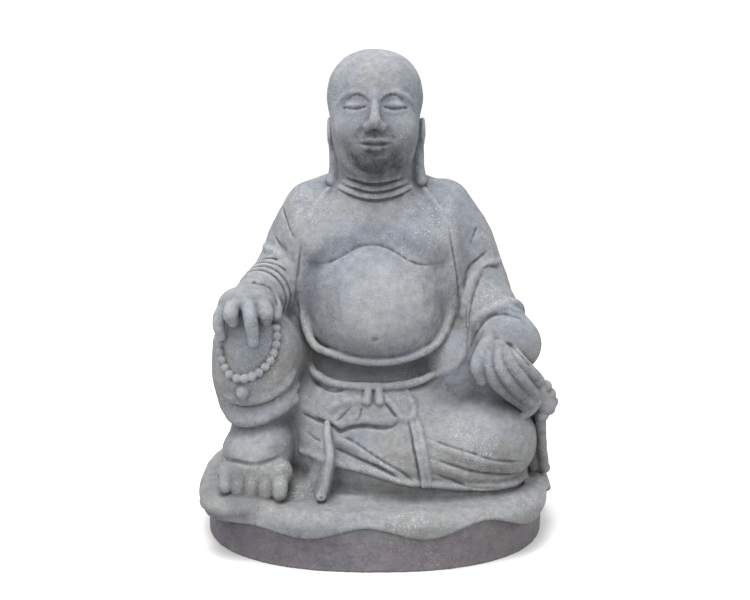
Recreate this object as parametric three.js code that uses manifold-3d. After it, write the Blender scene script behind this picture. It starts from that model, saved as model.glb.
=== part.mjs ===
// A seated buddha carved with its base from one block of grey stone.
// Millimetres, +Z up, the figure faces -Y. The origin is at the centre of the underside.
import * as THREE from 'three';
import { mergeVertices } from 'three/addons/utils/BufferGeometryUtils.js';
import Module from 'manifold-3d';

// Driving dimensions.
const BASE_HALF_WIDTH = 298;
const BASE_HALF_DEPTH = 245;
const BASE_RIM = 96;
const BASE_CROWN = 109;
const PLINTH_INSET = 15;
const WAVES = 10;
const WAVE_HEIGHT = 65;
const WAVE_DEPTH = 12;
const HEAD_CENTRE = [0, -8, 698];
const HEAD_TILT = 19;

// How finely the block is worked, and how many faces are kept.
const CELL = 5;
const FACES = 9600;

const LOW = [-320, -270, -45];
const HIGH = [320, 270, 815];
const SIDES = [-1, 1];

// Forms. Each is a box that holds it and a distance that is negative inside it.

function egg(centre, radii, turn = [0, 0, 0]) {
  const [rx, ry, rz] = radii;
  const euler = new THREE.Euler(...turn.map(THREE.MathUtils.degToRad));
  const m = new THREE.Matrix4().makeRotationFromEuler(euler).transpose().elements;
  const reach = Math.max(rx, ry, rz);
  return {
    low: centre.map((c) => c - reach),
    high: centre.map((c) => c + reach),
    distance(x, y, z) {
      const dx = x - centre[0];
      const dy = y - centre[1];
      const dz = z - centre[2];
      const px = (m[0] * dx + m[4] * dy + m[8] * dz) / rx;
      const py = (m[1] * dx + m[5] * dy + m[9] * dz) / ry;
      const pz = (m[2] * dx + m[6] * dy + m[10] * dz) / rz;
      const k0 = Math.hypot(px, py, pz);
      const k1 = Math.hypot(px / rx, py / ry, pz / rz);
      return k1 < 1e-9 ? -Math.min(rx, ry, rz) : (k0 * (k0 - 1)) / k1;
    },
  };
}

// A straight run whose radius changes evenly from one end to the other.
function bone(a, b, ra, rb) {
  const reach = Math.max(ra, rb);
  const ab = [b[0] - a[0], b[1] - a[1], b[2] - a[2]];
  const length2 = ab[0] ** 2 + ab[1] ** 2 + ab[2] ** 2;
  return {
    low: a.map((c, i) => Math.min(c, b[i]) - reach),
    high: a.map((c, i) => Math.max(c, b[i]) + reach),
    distance(x, y, z) {
      const dx = x - a[0];
      const dy = y - a[1];
      const dz = z - a[2];
      const along = (dx * ab[0] + dy * ab[1] + dz * ab[2]) / length2;
      const t = Math.min(1, Math.max(0, along));
      const gap = Math.hypot(dx - t * ab[0], dy - t * ab[1], dz - t * ab[2]);
      return gap - (ra + (rb - ra) * t);
    },
  };
}

function curveThrough(points) {
  return new THREE.CatmullRomCurve3(points.map((p) => new THREE.Vector3(...p)), false, 'centripetal');
}

// A flat path moved sideways, to its left as it is followed.
function beside(path, distance) {
  return path.map(([across, up], i) => {
    const [a, b] = [path[Math.max(i - 1, 0)], path[Math.min(i + 1, path.length - 1)]];
    const length = Math.hypot(b[0] - a[0], b[1] - a[1]);
    return [across - (distance * (b[1] - a[1])) / length, up + (distance * (b[0] - a[0])) / length];
  });
}

// A smooth curve through the points, as bones with the radii spread along it.
function limb(points, radii, runs = 0) {
  const curve = curveThrough(points);
  const steps = runs || (points.length - 1) * 5;
  const radiusAt = (t) => {
    const place = t * (radii.length - 1);
    const i = Math.min(radii.length - 2, Math.floor(place));
    return radii[i] + (radii[i + 1] - radii[i]) * (place - i);
  };
  const bones = [];
  for (let i = 0; i < steps; i += 1) {
    const a = curve.getPoint(i / steps).toArray();
    const b = curve.getPoint((i + 1) / steps).toArray();
    bones.push(bone(a, b, radiusAt(i / steps), radiusAt((i + 1) / steps)));
  }
  return bones;
}

// A roll round a centre, square to the direction it faces.
function hoop(centre, along, radius, thickness) {
  const axis = new THREE.Vector3(...along).normalize();
  const across = new THREE.Vector3(0, 0, 1).cross(axis).normalize();
  const up = axis.clone().cross(across);
  const steps = 28;
  const points = Array.from({ length: steps + 1 }, (_, i) => {
    const angle = (2 * Math.PI * i) / steps;
    const reach = across.clone().multiplyScalar(Math.cos(angle)).addScaledVector(up, Math.sin(angle));
    return new THREE.Vector3(...centre).addScaledVector(reach, radius).toArray();
  });
  return limb(points, [thickness, thickness], steps);
}

// The head is tilted back a little, so its forms are placed in its own frame.
function onHead([x, y, z]) {
  const tilt = THREE.MathUtils.degToRad(HEAD_TILT);
  const [cos, sin] = [Math.cos(tilt), Math.sin(tilt)];
  return [HEAD_CENTRE[0] + x, HEAD_CENTRE[1] + y * cos + z * sin, HEAD_CENTRE[2] - y * sin + z * cos];
}

function headEgg(centre, radii, turn = [0, 0, 0]) {
  return egg(onHead(centre), radii, [turn[0] - HEAD_TILT, turn[1], turn[2]]);
}

function headLimb(points, radii, runs = 0) {
  return limb(points.map(onHead), radii, runs);
}

// The nearer of two distances, with a fillet where they are alike.
function filleted(a, b, blend) {
  const near = Math.max(blend - Math.abs(a - b), 0);
  return Math.min(a, b) - (near * near) / (4 * blend);
}

// Where two faces meet, rounded off.
function roundedMax(a, b, r) {
  return Math.hypot(Math.max(a + r, 0), Math.max(b + r, 0)) + Math.min(Math.max(a, b) + r, 0) - r;
}

// An upright oval slab. Its top edge is rounded by the shoulder and its lower edge by the lip, and the
// height of the lower edge may depend on the direction round it.
function ovalSlab({ halfWidth, halfDepth, bottom, top, shoulder, lip, squareness }) {
  return {
    low: [-halfWidth, -halfDepth, -40],
    high: [halfWidth, halfDepth, top],
    distance(x, y, z) {
      const sum = Math.abs(x / halfWidth) ** squareness + Math.abs(y / halfDepth) ** squareness;
      const norm = sum ** (1 / squareness);
      const side = norm < 1e-6 ? -halfDepth : Math.hypot(x, y) * (1 - 1 / norm);
      const floor = bottom(Math.atan2(x / halfWidth, -y / halfDepth));
      return roundedMax(roundedMax(side, z - top, shoulder), floor - z, lip);
    },
  };
}

// The block: signed distances on a grid of cells.
class Block {
  constructor(low, high, cell) {
    this.low = low;
    this.cell = cell;
    this.count = low.map((c, i) => Math.round((high[i] - c) / cell) + 1);
    this.field = new Float32Array(this.count[0] * this.count[1] * this.count[2]).fill(1000);
  }

  index(i, j, k) {
    return i + this.count[0] * (j + this.count[1] * k);
  }

  // Joins the forms to each other, sharply or with an inner fillet, then to the block with a fillet of
  // their own, or cuts them out of it.
  work(forms, blend, cutting, inner) {
    const { low, cell, count, field } = this;
    const reach = blend + 2 * cell;
    const span = (form) => [0, 1, 2].map((axis) => [
      Math.max(0, Math.floor((form.low[axis] - reach - low[axis]) / cell)),
      Math.min(count[axis] - 1, Math.ceil((form.high[axis] + reach - low[axis]) / cell)),
    ]);
    const spans = forms.map(span);
    const whole = [0, 1, 2].map((axis) => [
      Math.min(...spans.map((s) => s[axis][0])),
      Math.max(...spans.map((s) => s[axis][1])),
    ]);
    const size = whole.map(([a, b]) => b - a + 1);
    if (size.some((n) => n <= 0)) return;
    const tool = new Float32Array(size[0] * size[1] * size[2]).fill(1000);
    forms.forEach((form, n) => {
      const [sx, sy, sz] = spans[n];
      for (let k = sz[0]; k <= sz[1]; k += 1) {
        for (let j = sy[0]; j <= sy[1]; j += 1) {
          let at = sx[0] - whole[0][0] + size[0] * (j - whole[1][0] + size[1] * (k - whole[2][0]));
          for (let i = sx[0]; i <= sx[1]; i += 1, at += 1) {
            const d = form.distance(low[0] + i * cell, low[1] + j * cell, low[2] + k * cell);
            tool[at] = inner > 0 ? filleted(tool[at], d, inner) : Math.min(tool[at], d);
          }
        }
      }
    });
    let at = 0;
    for (let k = whole[2][0]; k <= whole[2][1]; k += 1) {
      for (let j = whole[1][0]; j <= whole[1][1]; j += 1) {
        for (let i = whole[0][0]; i <= whole[0][1]; i += 1, at += 1) {
          const here = this.index(i, j, k);
          const a = cutting ? -field[here] : field[here];
          const joined = blend > 0 ? filleted(a, tool[at], blend) : Math.min(a, tool[at]);
          field[here] = cutting ? -joined : joined;
        }
      }
    }
  }

  add(forms, blend = 6, inner = 0) {
    this.work([forms].flat(Infinity), blend, false, inner);
  }

  cut(forms, blend = 4) {
    this.work([forms].flat(Infinity), blend, true, 0);
  }

  // Where the surface is first met on the way from a start to an end.
  met(start, end) {
    const { low, cell } = this;
    const steps = 120;
    for (let n = 0; n <= steps; n += 1) {
      const point = start.map((c, axis) => c + ((end[axis] - c) * n) / steps);
      const cells = point.map((c, axis) => Math.round((c - low[axis]) / cell));
      const slack = Math.hypot(...point.map((c, axis) => c - low[axis] - cells[axis] * cell));
      const here = this.field[this.index(...cells)];
      if (here < slack * 0.3) return point;
    }
    return end;
  }

  // Where the surface is first met, coming from one side: axis 0 or 1, and the sign of the side.
  surface(point, axis, sign) {
    const { low, cell, count, field } = this;
    const cells = point.map((c, i) => Math.min(count[i] - 1, Math.max(0, Math.round((c - low[i]) / cell))));
    const start = sign < 0 ? 0 : count[axis] - 1;
    for (let n = start, before = 1000; n >= 0 && n < count[axis]; n -= sign) {
      cells[axis] = n;
      const here = field[this.index(...cells)];
      if (here < 0) {
        const back = before / (before - here);
        const found = [...point];
        found[axis] = low[axis] + (n + sign * (1 - back)) * cell;
        return found;
      }
      before = here;
    }
    return point;
  }

  // Lays a path on the surface. The path's points are [across, up], as seen from that side.
  drape(path, side = 'front', steps = 0) {
    const axis = side === 'front' || side === 'back' ? 1 : 0;
    const sign = side === 'front' || side === 'left' ? -1 : 1;
    const flat = path.map(([across, up]) => new THREE.Vector3(across, 0, up));
    const curve = new THREE.CatmullRomCurve3(flat, false, 'centripetal');
    const count = steps || Math.max(4, Math.ceil(curve.getLength() / 8));
    return curve.getSpacedPoints(count).map((p) => {
      const point = axis === 1 ? [p.x, 0, p.z] : [0, p.x, p.z];
      return this.surface(point, axis, sign);
    });
  }

  // A raised roll or a carved line along a path on the surface.
  relief(path, { radius, height, side = 'front', blend = 4 }) {
    const axis = side === 'front' || side === 'back' ? 1 : 0;
    const sign = side === 'front' || side === 'left' ? -1 : 1;
    const raised = height > 0;
    const sink = raised ? radius - height : -(radius + height);
    const laid = this.drape(path, side).map((p) => {
      const q = [...p];
      q[axis] -= sign * sink;
      return q;
    });
    const ends = [radius * 0.5, ...Array(6).fill(radius), radius * 0.5];
    const forms = limb(laid, ends, laid.length - 1);
    if (raised) this.add(forms, blend);
    else this.cut(forms, blend);
  }
}

// The stone's skin, as triangles. Each cell is six tetrahedra from its low corner to its high one, the
// last three of them mirrored, and each tetrahedron is cut where the distance is zero.
const TETRAHEDRA = [[1, 2], [2, 4], [4, 1], [2, 1], [1, 4], [4, 2]];
// The edges that are cut, in order round the cut, by which corners are inside.
const CUTS = {
  1: [[0, 1], [0, 2], [0, 3]],
  2: [[1, 0], [1, 3], [1, 2]],
  4: [[2, 3], [2, 0], [2, 1]],
  8: [[3, 2], [3, 1], [3, 0]],
  3: [[0, 2], [0, 3], [1, 3], [1, 2]],
  5: [[0, 3], [0, 1], [1, 2], [2, 3]],
  9: [[0, 1], [0, 2], [2, 3], [1, 3]],
};

function skin(block) {
  const { count, low, cell, field } = block;
  const layer = count[0] * count[1];
  const steps = Array.from({ length: 8 }, (_, code) => (
    (code & 1) + ((code >> 1) & 1) * count[0] + (code >> 2) * layer
  ));
  const place = (at) => [at % count[0], Math.floor(at / count[0]) % count[1], Math.floor(at / layer)];
  const found = new Map();
  const positions = [];
  const faces = [];
  // The vertex on an edge, shared by every tetrahedron round it. It keeps off the edge's ends.
  const vertex = (from, to, direction) => {
    const key = from * 8 + direction;
    if (!found.has(key)) {
      const share = Math.min(0.97, Math.max(0.03, field[from] / (field[from] - field[to])));
      const p = place(from);
      const q = place(to);
      found.set(key, positions.length / 3);
      for (let axis = 0; axis < 3; axis += 1) {
        positions.push(low[axis] + (p[axis] + (q[axis] - p[axis]) * share) * cell);
      }
    }
    return found.get(key);
  };
  for (let at = 0; at < field.length - layer - count[0] - 1; at += 1) {
    if (at % count[0] === count[0] - 1 || Math.floor(at / count[0]) % count[1] === count[1] - 1) continue;
    let inside = 0;
    for (let code = 0; code < 8; code += 1) inside += field[at + steps[code]] < 0 ? 1 : 0;
    if (inside === 0 || inside === 8) continue;
    TETRAHEDRA.forEach(([first, second], n) => {
      const codes = [0, first, first + second, 7];
      const corners = codes.map((code) => at + steps[code]);
      const mask = corners.reduce((sum, corner, bit) => sum + (field[corner] < 0 ? 1 << bit : 0), 0);
      if (mask === 0 || mask === 15) return;
      const cut = CUTS[mask] || CUTS[15 - mask];
      const turned = (n > 2) !== !CUTS[mask];
      const round = cut.map(([a, b]) => {
        const [p, q] = a < b ? [a, b] : [b, a];
        return vertex(corners[p], corners[q], codes[q] - codes[p]);
      });
      for (let corner = 2; corner < round.length; corner += 1) {
        const [b, c] = turned ? [round[corner], round[corner - 1]] : [round[corner - 1], round[corner]];
        faces.push(round[0], b, c);
      }
    });
  }
  return { positions, faces };
}

// A queue that gives back the entry with the lowest cost first.
class Queue {
  constructor() {
    this.heap = [];
  }

  push(entry) {
    const { heap } = this;
    let at = heap.length;
    heap.push(entry);
    while (at > 0) {
      const up = (at - 1) >> 1;
      if (heap[up].cost <= entry.cost) break;
      heap[at] = heap[up];
      at = up;
    }
    heap[at] = entry;
  }

  pop() {
    const { heap } = this;
    const first = heap[0];
    const last = heap.pop();
    if (!heap.length) return first;
    let at = 0;
    for (;;) {
      let down = 2 * at + 1;
      if (down >= heap.length) break;
      if (down + 1 < heap.length && heap[down + 1].cost < heap[down].cost) down += 1;
      if (heap[down].cost >= last.cost) break;
      heap[at] = heap[down];
      at = down;
    }
    heap[at] = last;
    return first;
  }
}

// Thins the faces out. The edge that goes next is the one whose loss moves the surface least, where
// careAt(x, y, z) says how much a place matters. The skin stays closed: no edge goes that
// would pinch it or turn a face over.
function thin({ positions, faces }, wanted, careAt) {
  const p = Float64Array.from(positions);
  const f = Int32Array.from(faces);
  const vertices = p.length / 3;
  const quadric = new Float64Array(vertices * 10);
  const round = Array.from({ length: vertices }, () => []);
  const age = new Int32Array(vertices);
  let left = f.length / 3;

  const normal = (a, b, c) => {
    const ux = p[b] - p[a];
    const uy = p[b + 1] - p[a + 1];
    const uz = p[b + 2] - p[a + 2];
    const vx = p[c] - p[a];
    const vy = p[c + 1] - p[a + 1];
    const vz = p[c + 2] - p[a + 2];
    return [uy * vz - uz * vy, uz * vx - ux * vz, ux * vy - uy * vx];
  };
  for (let t = 0; t < f.length; t += 3) {
    const [a, b, c] = [3 * f[t], 3 * f[t + 1], 3 * f[t + 2]];
    const n = normal(a, b, c);
    const size = Math.hypot(...n) || 1e-12;
    const [nx, ny, nz] = n.map((v) => v / size);
    const d = -(nx * p[a] + ny * p[a + 1] + nz * p[a + 2]);
    const weight = size * careAt(p[a], p[a + 1], p[a + 2]);
    const plane = [nx * nx, nx * ny, nx * nz, nx * d, ny * ny, ny * nz, ny * d, nz * nz, nz * d, d * d];
    for (let corner = 0; corner < 3; corner += 1) {
      round[f[t + corner]].push(t);
      plane.forEach((v, i) => { quadric[f[t + corner] * 10 + i] += v * weight; });
    }
  }

  const neighbours = (v) => {
    const near = new Set();
    round[v].forEach((t) => { near.add(f[t]).add(f[t + 1]).add(f[t + 2]); });
    near.delete(v);
    return near;
  };
  const entryFor = (a, b) => {
    const q = Array.from({ length: 10 }, (_, i) => quadric[a * 10 + i] + quadric[b * 10 + i]);
    const costAt = (x, y, z) => (
      q[0] * x * x + 2 * q[1] * x * y + 2 * q[2] * x * z + 2 * q[3] * x + q[4] * y * y
      + 2 * q[5] * y * z + 2 * q[6] * y + q[7] * z * z + 2 * q[8] * z + q[9]
    );
    const middle = [0, 1, 2].map((i) => (p[3 * a + i] + p[3 * b + i]) / 2);
    const edge = Math.hypot(...[0, 1, 2].map((i) => p[3 * a + i] - p[3 * b + i]));
    const minors = [q[4] * q[7] - q[5] * q[5], q[1] * q[7] - q[2] * q[5], q[1] * q[5] - q[2] * q[4]];
    const whole = q[0] * minors[0] - q[1] * minors[1] + q[2] * minors[2];
    let best = middle;
    if (Math.abs(whole) > 1e-4 * (q[0] + q[4] + q[7]) ** 3) {
      const [r, s, t] = [-q[3], -q[6], -q[8]];
      const solved = [
        (r * minors[0] - q[1] * (s * q[7] - q[5] * t) + q[2] * (s * q[5] - q[4] * t)) / whole,
        (q[0] * (s * q[7] - q[5] * t) - r * minors[1] + q[2] * (q[1] * t - s * q[2])) / whole,
        (q[0] * (q[4] * t - s * q[5]) - q[1] * (q[1] * t - s * q[2]) + r * minors[2]) / whole,
      ];
      if (Math.hypot(...solved.map((c, i) => c - middle[i])) < 1.5 * edge) best = solved;
    }
    // The edge's own length keeps flat stretches even.
    const cost = costAt(...best) + 1e-3 * edge ** 4;
    return { cost, a, b, ageA: age[a], ageB: age[b], best };
  };

  const queue = new Queue();
  for (let v = 0; v < vertices; v += 1) {
    neighbours(v).forEach((w) => { if (v < w) queue.push(entryFor(v, w)); });
  }
  const turnsOver = (v, other, best) => round[v].some((t) => {
    const corners = [f[t], f[t + 1], f[t + 2]];
    if (corners.includes(other)) return false;
    const before = normal(...corners.map((c) => 3 * c));
    const kept = [p[3 * v], p[3 * v + 1], p[3 * v + 2]];
    best.forEach((c, i) => { p[3 * v + i] = c; });
    const after = normal(...corners.map((c) => 3 * c));
    kept.forEach((c, i) => { p[3 * v + i] = c; });
    const dot = before[0] * after[0] + before[1] * after[1] + before[2] * after[2];
    return dot < 0.3 * Math.hypot(...before) * Math.hypot(...after) || Math.hypot(...after) < 1e-3;
  });

  while (left > wanted && queue.heap.length) {
    const { a, b, ageA, ageB, best } = queue.pop();
    if (!round[a].length || !round[b].length || age[a] !== ageA || age[b] !== ageB) continue;
    const nearA = neighbours(a);
    const nearB = neighbours(b);
    let shared = 0;
    nearA.forEach((v) => { if (nearB.has(v)) shared += 1; });
    if (shared !== 2 || turnsOver(a, b, best) || turnsOver(b, a, best)) continue;
    best.forEach((c, i) => { p[3 * a + i] = c; });
    for (let i = 0; i < 10; i += 1) quadric[a * 10 + i] += quadric[b * 10 + i];
    const gone = round[b].filter((t) => f[t] === a || f[t + 1] === a || f[t + 2] === a);
    gone.forEach((t) => {
      [f[t], f[t + 1], f[t + 2]].forEach((v) => { round[v] = round[v].filter((u) => u !== t); });
      f[t] = -1;
      left -= 1;
    });
    round[b].forEach((t) => {
      for (let corner = 0; corner < 3; corner += 1) if (f[t + corner] === b) f[t + corner] = a;
      round[a].push(t);
    });
    round[b] = [];
    age[a] += 1;
    neighbours(a).forEach((v) => queue.push(entryFor(a, v)));
  }

  const geometry = new THREE.BufferGeometry();
  const kept = [];
  const number = new Map();
  const places = [];
  for (let t = 0; t < f.length; t += 3) {
    if (f[t] < 0) continue;
    for (let corner = 0; corner < 3; corner += 1) {
      const v = f[t + corner];
      if (!number.has(v)) {
        number.set(v, places.length / 3);
        places.push(p[3 * v], p[3 * v + 1], p[3 * v + 2]);
      }
      kept.push(number.get(v));
    }
  }
  geometry.setAttribute('position', new THREE.Float32BufferAttribute(places, 3));
  geometry.setIndex(kept);
  return geometry;
}

// The carving. Everything is one block of stone, so the forms only say where it is left standing.
const block = new Block(LOW, HIGH, CELL);

// Base: a rounded slab whose lower edge waves, over an oval plinth, slightly domed on top.
block.add(ovalSlab({
  halfWidth: BASE_HALF_WIDTH - PLINTH_INSET,
  halfDepth: BASE_HALF_DEPTH - PLINTH_INSET * 0.6,
  bottom: () => -30,
  top: 84,
  shoulder: 12,
  lip: 8,
  squareness: 2.3,
}), 0);
block.add(ovalSlab({
  halfWidth: BASE_HALF_WIDTH,
  halfDepth: BASE_HALF_DEPTH,
  bottom: (angle) => (
    WAVE_HEIGHT + 4 * Math.sin(angle)
    + WAVE_DEPTH * (0.75 + 0.35 * Math.sin(angle)) * Math.cos(WAVES * (angle + 0.05))
  ),
  top: BASE_RIM,
  shoulder: 26,
  lip: 6,
  squareness: 2.7,
}), 3);
block.add(egg([0, 10, 60], [280, 222, BASE_CROWN - 60]), 14);
block.add(egg([-30, -55, 78], [150, 135, 46]), 20);

// Seat, hips and back, under a plain robe.
block.add(egg([-5, 42, 190], [200, 150, 120]), 0);
block.add(bone([0, 40, 235], [0, 24, 440], 145, 104), 50);
block.add(egg([0, 20, 450], [134, 86, 136]), 40);
SIDES.forEach((s) => {
  block.add(egg([s * 80, 14, 530], [68, 58, 43], [0, s * 29, 0]), 26);
});
SIDES.forEach((s) => {
  block.add(egg([s * 118, -18, 440], [36, 64, 120]), 24);
});

// Legs. The right one is raised, with its foot flat on the base; the left one lies folded in front.
block.add(limb([[-100, 60, 215], [-160, -20, 290], [-190, -93, 326]], [80, 75, 67], 8), 22);
block.add(limb([[-192, -98, 326], [-194, -102, 290], [-191, -96, 258]], [68, 69, 66], 8), 14);
block.add(bone([-184, -76, 250], [-184, -84, 150], 54, 50), 6);
block.add(limb([[90, 60, 195], [160, -20, 182], [191, -78, 168]], [90, 82, 70], 8), 24);
block.add(
  limb([[192, -80, 168], [130, -106, 160], [20, -112, 152], [-70, -100, 165]], [70, 72, 66, 58], 12),
  20,
);
block.add(egg([-5, -66, 210], [150, 84, 82]), 24);
block.add(
  limb(
    [[-96, -92, 150], [-20, -118, 130], [70, -126, 112], [160, -112, 104], [211, -66, 108]],
    [44, 44, 44, 44, 42],
    12,
  ),
  14,
);

// Arms in wide sleeves.
block.add(limb([[-103, 16, 537.5], [-130, 12, 480], [-146, -8, 432]], [47.5, 51, 50], 8), 20);
block.add(limb([[-146, -8, 432], [-168, -58, 420], [-190, -104, 408]], [50, 45, 38], 6), 16);
block.add(limb([[112, 16, 538], [146, 10, 480], [163, -4, 412]], [50, 53, 55], 8), 20);
block.add(limb([[163, -4, 412], [186, -50, 370], [208, -81, 342]], [55, 53, 50], 6), 16);
block.add(limb([[108, 10, 500], [122, -6, 400], [132, -16, 310]], [50, 54, 62], 8), 20);

// Gathers and cuffs of the sleeves.
block.add(hoop([-160, -38, 424], [-22, -50, -8], 42, 7), 5);
block.add(hoop([-168, -56, 420], [-22, -48, -10], 41, 7), 5);
block.add(hoop([-175, -72, 416], [-22, -46, -12], 39.5, 7), 5);
block.add(hoop([-182, -88, 412], [-22, -46, -12], 36, 7.5), 4);
block.add(hoop([198, -64, 361], [20, -30, -24], 46, 8), 5);

// Neck, sloping into the shoulders.
block.add(bone([0, 6, 548], [0, -4, 625], 66, 60), 16);
SIDES.forEach((s) => {
  block.add(limb([[s * 58, 10, 590], [s * 84, 6, 582], [s * 118, 2, 564]], [12, 13, 14], 8), 10);
});
// Head.
block.add(headEgg([0, 6, 28], [72, 88, 74]), 12);
SIDES.forEach((s) => {
  block.add(headEgg([s * 14, 6, 29], [64, 86, 71]), 10);
});
block.add(headEgg([0, -14, -34], [70, 67, 66]), 24);
block.add(headEgg([0, -24, -72], [58, 48, 37]), 16);
block.add(headEgg([0, -61, -92], [27, 18, 15]), 16);
block.add(headEgg([0, -62, -70], [30, 17, 20]), 16);
SIDES.forEach((s) => {
  block.add(headEgg([s * 36, -50, -42], [27, 26, 25]), 18);
  // Ear, with its rim, a hollow and a long lobe that reaches the shoulder.
  block.add(egg([s * 68 + 2, 6, 662], [9, 19, 25]), 4);
  block.add(
    limb(
      [
        [s * 74 + 2, -6, 640], [s * 76 + 2, -12, 660], [s * 76 + 2, -4, 682], [s * 75 + 2, 12, 684],
        [s * 74 + 2, 21, 664], [s * 72 + 2, 12, 640],
      ],
      [3, 4, 4, 4, 4, 3],
      20,
    ),
    2,
  );
  block.add(limb([[s * 69 + 2, 2, 644], [s * 70 + 3, -3, 610], [s * 72 + 3, -7, 590]], [9, 8, 9], 6), 4);
  block.add(egg([s * 73 + 3, -10, 586], [9, 9, 8]), 3);
  block.add(limb([[s * 62 + 2, 10, 650], [s * 60 + 2, 8, 586]], [13, 15], 4), 6);
  block.cut(egg([s * 78 + 2, 4, 663], [4, 8, 12]), 2);
  block.cut(limb([[s * 79 + 2, -3, 645], [s * 80 + 2, -9, 606]], [2.5, 2], 4), 2);
});
// A raised roll or a carved line on the face. Its path is [across, up], as seen from straight before it.
function face(path, { radius, height, blend = 3 }) {
  const curve = curveThrough(path.map(([across, up]) => [across, 0, up]));
  const count = Math.max(6, path.length * 3);
  const tilt = THREE.MathUtils.degToRad(HEAD_TILT);
  const sink = height > 0 ? radius - height : -(radius + height);
  const laid = curve.getSpacedPoints(count).map(({ x, z }) => {
    const [px, py, pz] = block.met(onHead([x, -135, z]), onHead([x, 0, z]));
    return [px, py + sink * Math.cos(tilt), pz - sink * Math.sin(tilt)];
  });
  const forms = limb(laid, [radius * 0.5, ...Array(6).fill(radius), radius * 0.5], count);
  if (height > 0) block.add(forms, blend);
  else block.cut(forms, blend);
}

// Nose.
block.add(headLimb([[0, -78, 6], [0, -86, -14], [0, -93, -36]], [6, 6.5, 8.5], 10), 10);
block.add(headEgg([0, -93, -42], [11, 10, 9]), 6);
SIDES.forEach((s) => {
  block.add(headEgg([s * 11, -86, -46], [8, 9, 7.5]), 5);
  block.cut(headEgg([s * 6.5, -91, -54], [3.6, 5.5, 3.4]), 1.5);
  // Eye in its socket under the brow: the lid is lowered, and its edge drops gently outwards.
  block.cut(headEgg([s * 30, -92, -4], [21, 15, 12], [0, s * 8, 0]), 8);
  block.add(headEgg([s * 30, -64, -8], [18, 14.5, 10.5], [0, s * 6, 0]), 3);
  face(
    [[s * 9, 1], [s * 18, 9], [s * 33, 13.5], [s * 49, 9], [s * 59, 0]],
    { radius: 4, height: 1.5, blend: 5 },
  );
  face([[s * 12, -2], [s * 21, 5], [s * 33, 7.5], [s * 46, 1]], { radius: 2.4, height: -1.6, blend: 2 });
  face(
    [[s * 12, -10], [s * 20, -13.5], [s * 31, -15], [s * 42, -13], [s * 52, -8]],
    { radius: 2.4, height: -2.2, blend: 1.5 },
  );
  face([[s * 15, -17], [s * 31, -21], [s * 46, -15]], { radius: 3.2, height: 1.2, blend: 3 });
  face([[s * 19, -44], [s * 24, -52], [s * 31, -62]], { radius: 3, height: -1.2, blend: 5 });
});
face([[0, -57], [0, -63]], { radius: 3, height: -1.2, blend: 3 });
// Mouth, closed and at rest.
face(
  [[-25, -70], [-13, -66.5], [-5, -65], [0, -66.5], [5, -65], [13, -66.5], [25, -70]],
  { radius: 4.2, height: 2.4, blend: 2 },
);
face([[-20, -76], [-10, -79], [0, -80], [10, -79], [20, -76]], { radius: 5, height: 2.8, blend: 2 });
face(
  [[-28, -69.5], [-14, -72], [0, -73], [14, -72], [28, -69.5]],
  { radius: 2.6, height: -2.6, blend: 1.5 },
);
face([[-13, -89], [0, -90.5], [13, -89]], { radius: 4, height: -1.6, blend: 5 });

// Chest and belly.
block.add(egg([0, -24, 535], [100, 54, 42]), 20);
SIDES.forEach((s) => {
  block.add(egg([s * 50, -48, 503], [64, 47, 38], [0, s * 9, 0]), 24);
});
block.add(
  [
    egg([-20, -34, 392], [92, 108, 100]),
    egg([25, -34, 392], [92, 108, 100]),
    egg([3, -26, 440], [109, 94, 74]),
    egg([3, -48, 354], [106, 92, 58]),
  ],
  14,
  30,
);
block.cut(egg(block.surface([0, 0, 352], 1, -1), [5, 4, 3.5]), 4);
SIDES.forEach((s) => {
  block.add(egg([s * 84, -60, 487], [34, 28, 26]), 18);
});
// Folds of the neck.
block.add(egg([0, -24, 574], [64, 45, 28]), 8);
[[596, 44, 9], [586, 52, 12], [577, 60, 15]].forEach(([rise, half, drop]) => {
  const arc = Array.from({ length: 9 }, (_, i) => (
    [half * (i / 4 - 1), rise - drop * Math.sin((Math.PI * i) / 8)]
  ));
  block.relief(beside(arc, -5), { radius: 6, height: 3, blend: 3 });
  block.relief(arc, { radius: 3.2, height: -4.2, blend: 1.5 });
});

// The robe's front edges run down beside the belly into the border under it.
block.add(limb([[-130, -76, 432], [-130, -73, 416], [-131, -64, 404]], [7, 8, 5], 6), 8);
block.add(egg([134, -56, 292], [54, 62, 66]), 24);
block.add(
  limb(
    [
      [-76, -22, 575], [-101, -50, 540], [-111, -64, 500], [-116, -70, 450], [-118, -68, 405],
      [-115, -78, 369], [-97, -106, 334], [-66, -121, 323], [-32, -130, 315], [0, -133, 312],
      [40, -130, 315], [74, -119, 324], [101, -103, 338], [120, -78, 369], [124, -68, 405],
      [123, -70, 450], [117, -64, 500], [106, -50, 540], [80, -22, 575],
    ],
    [4, 6, 8, 8, 8, 7.5, 6.5, 6, 5.5, 5.5, 5.5, 6, 6.5, 7.5, 8, 8, 8, 6, 4],
    60,
  ),
  5,
);
block.add(
  limb(
    [
      [-98, -94, 286], [-86, -104, 279], [-68, -114, 273], [-42, -121, 271], [0, -125, 270],
      [42, -121, 272], [66, -114, 275], [90, -101, 282], [110, -80, 292],
    ],
    [4, 7, 7, 7, 7, 7, 7, 6, 3],
    28,
  ),
  3,
);
block.relief([[-84, 279], [-98, 286], [-113, 297]], { radius: 6, height: 2.5, blend: 4 });
block.relief(
  [[88, 281], [106, 288], [124, 299], [138, 314], [147, 334]],
  { radius: 7, height: 3, blend: 4 },
);

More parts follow.
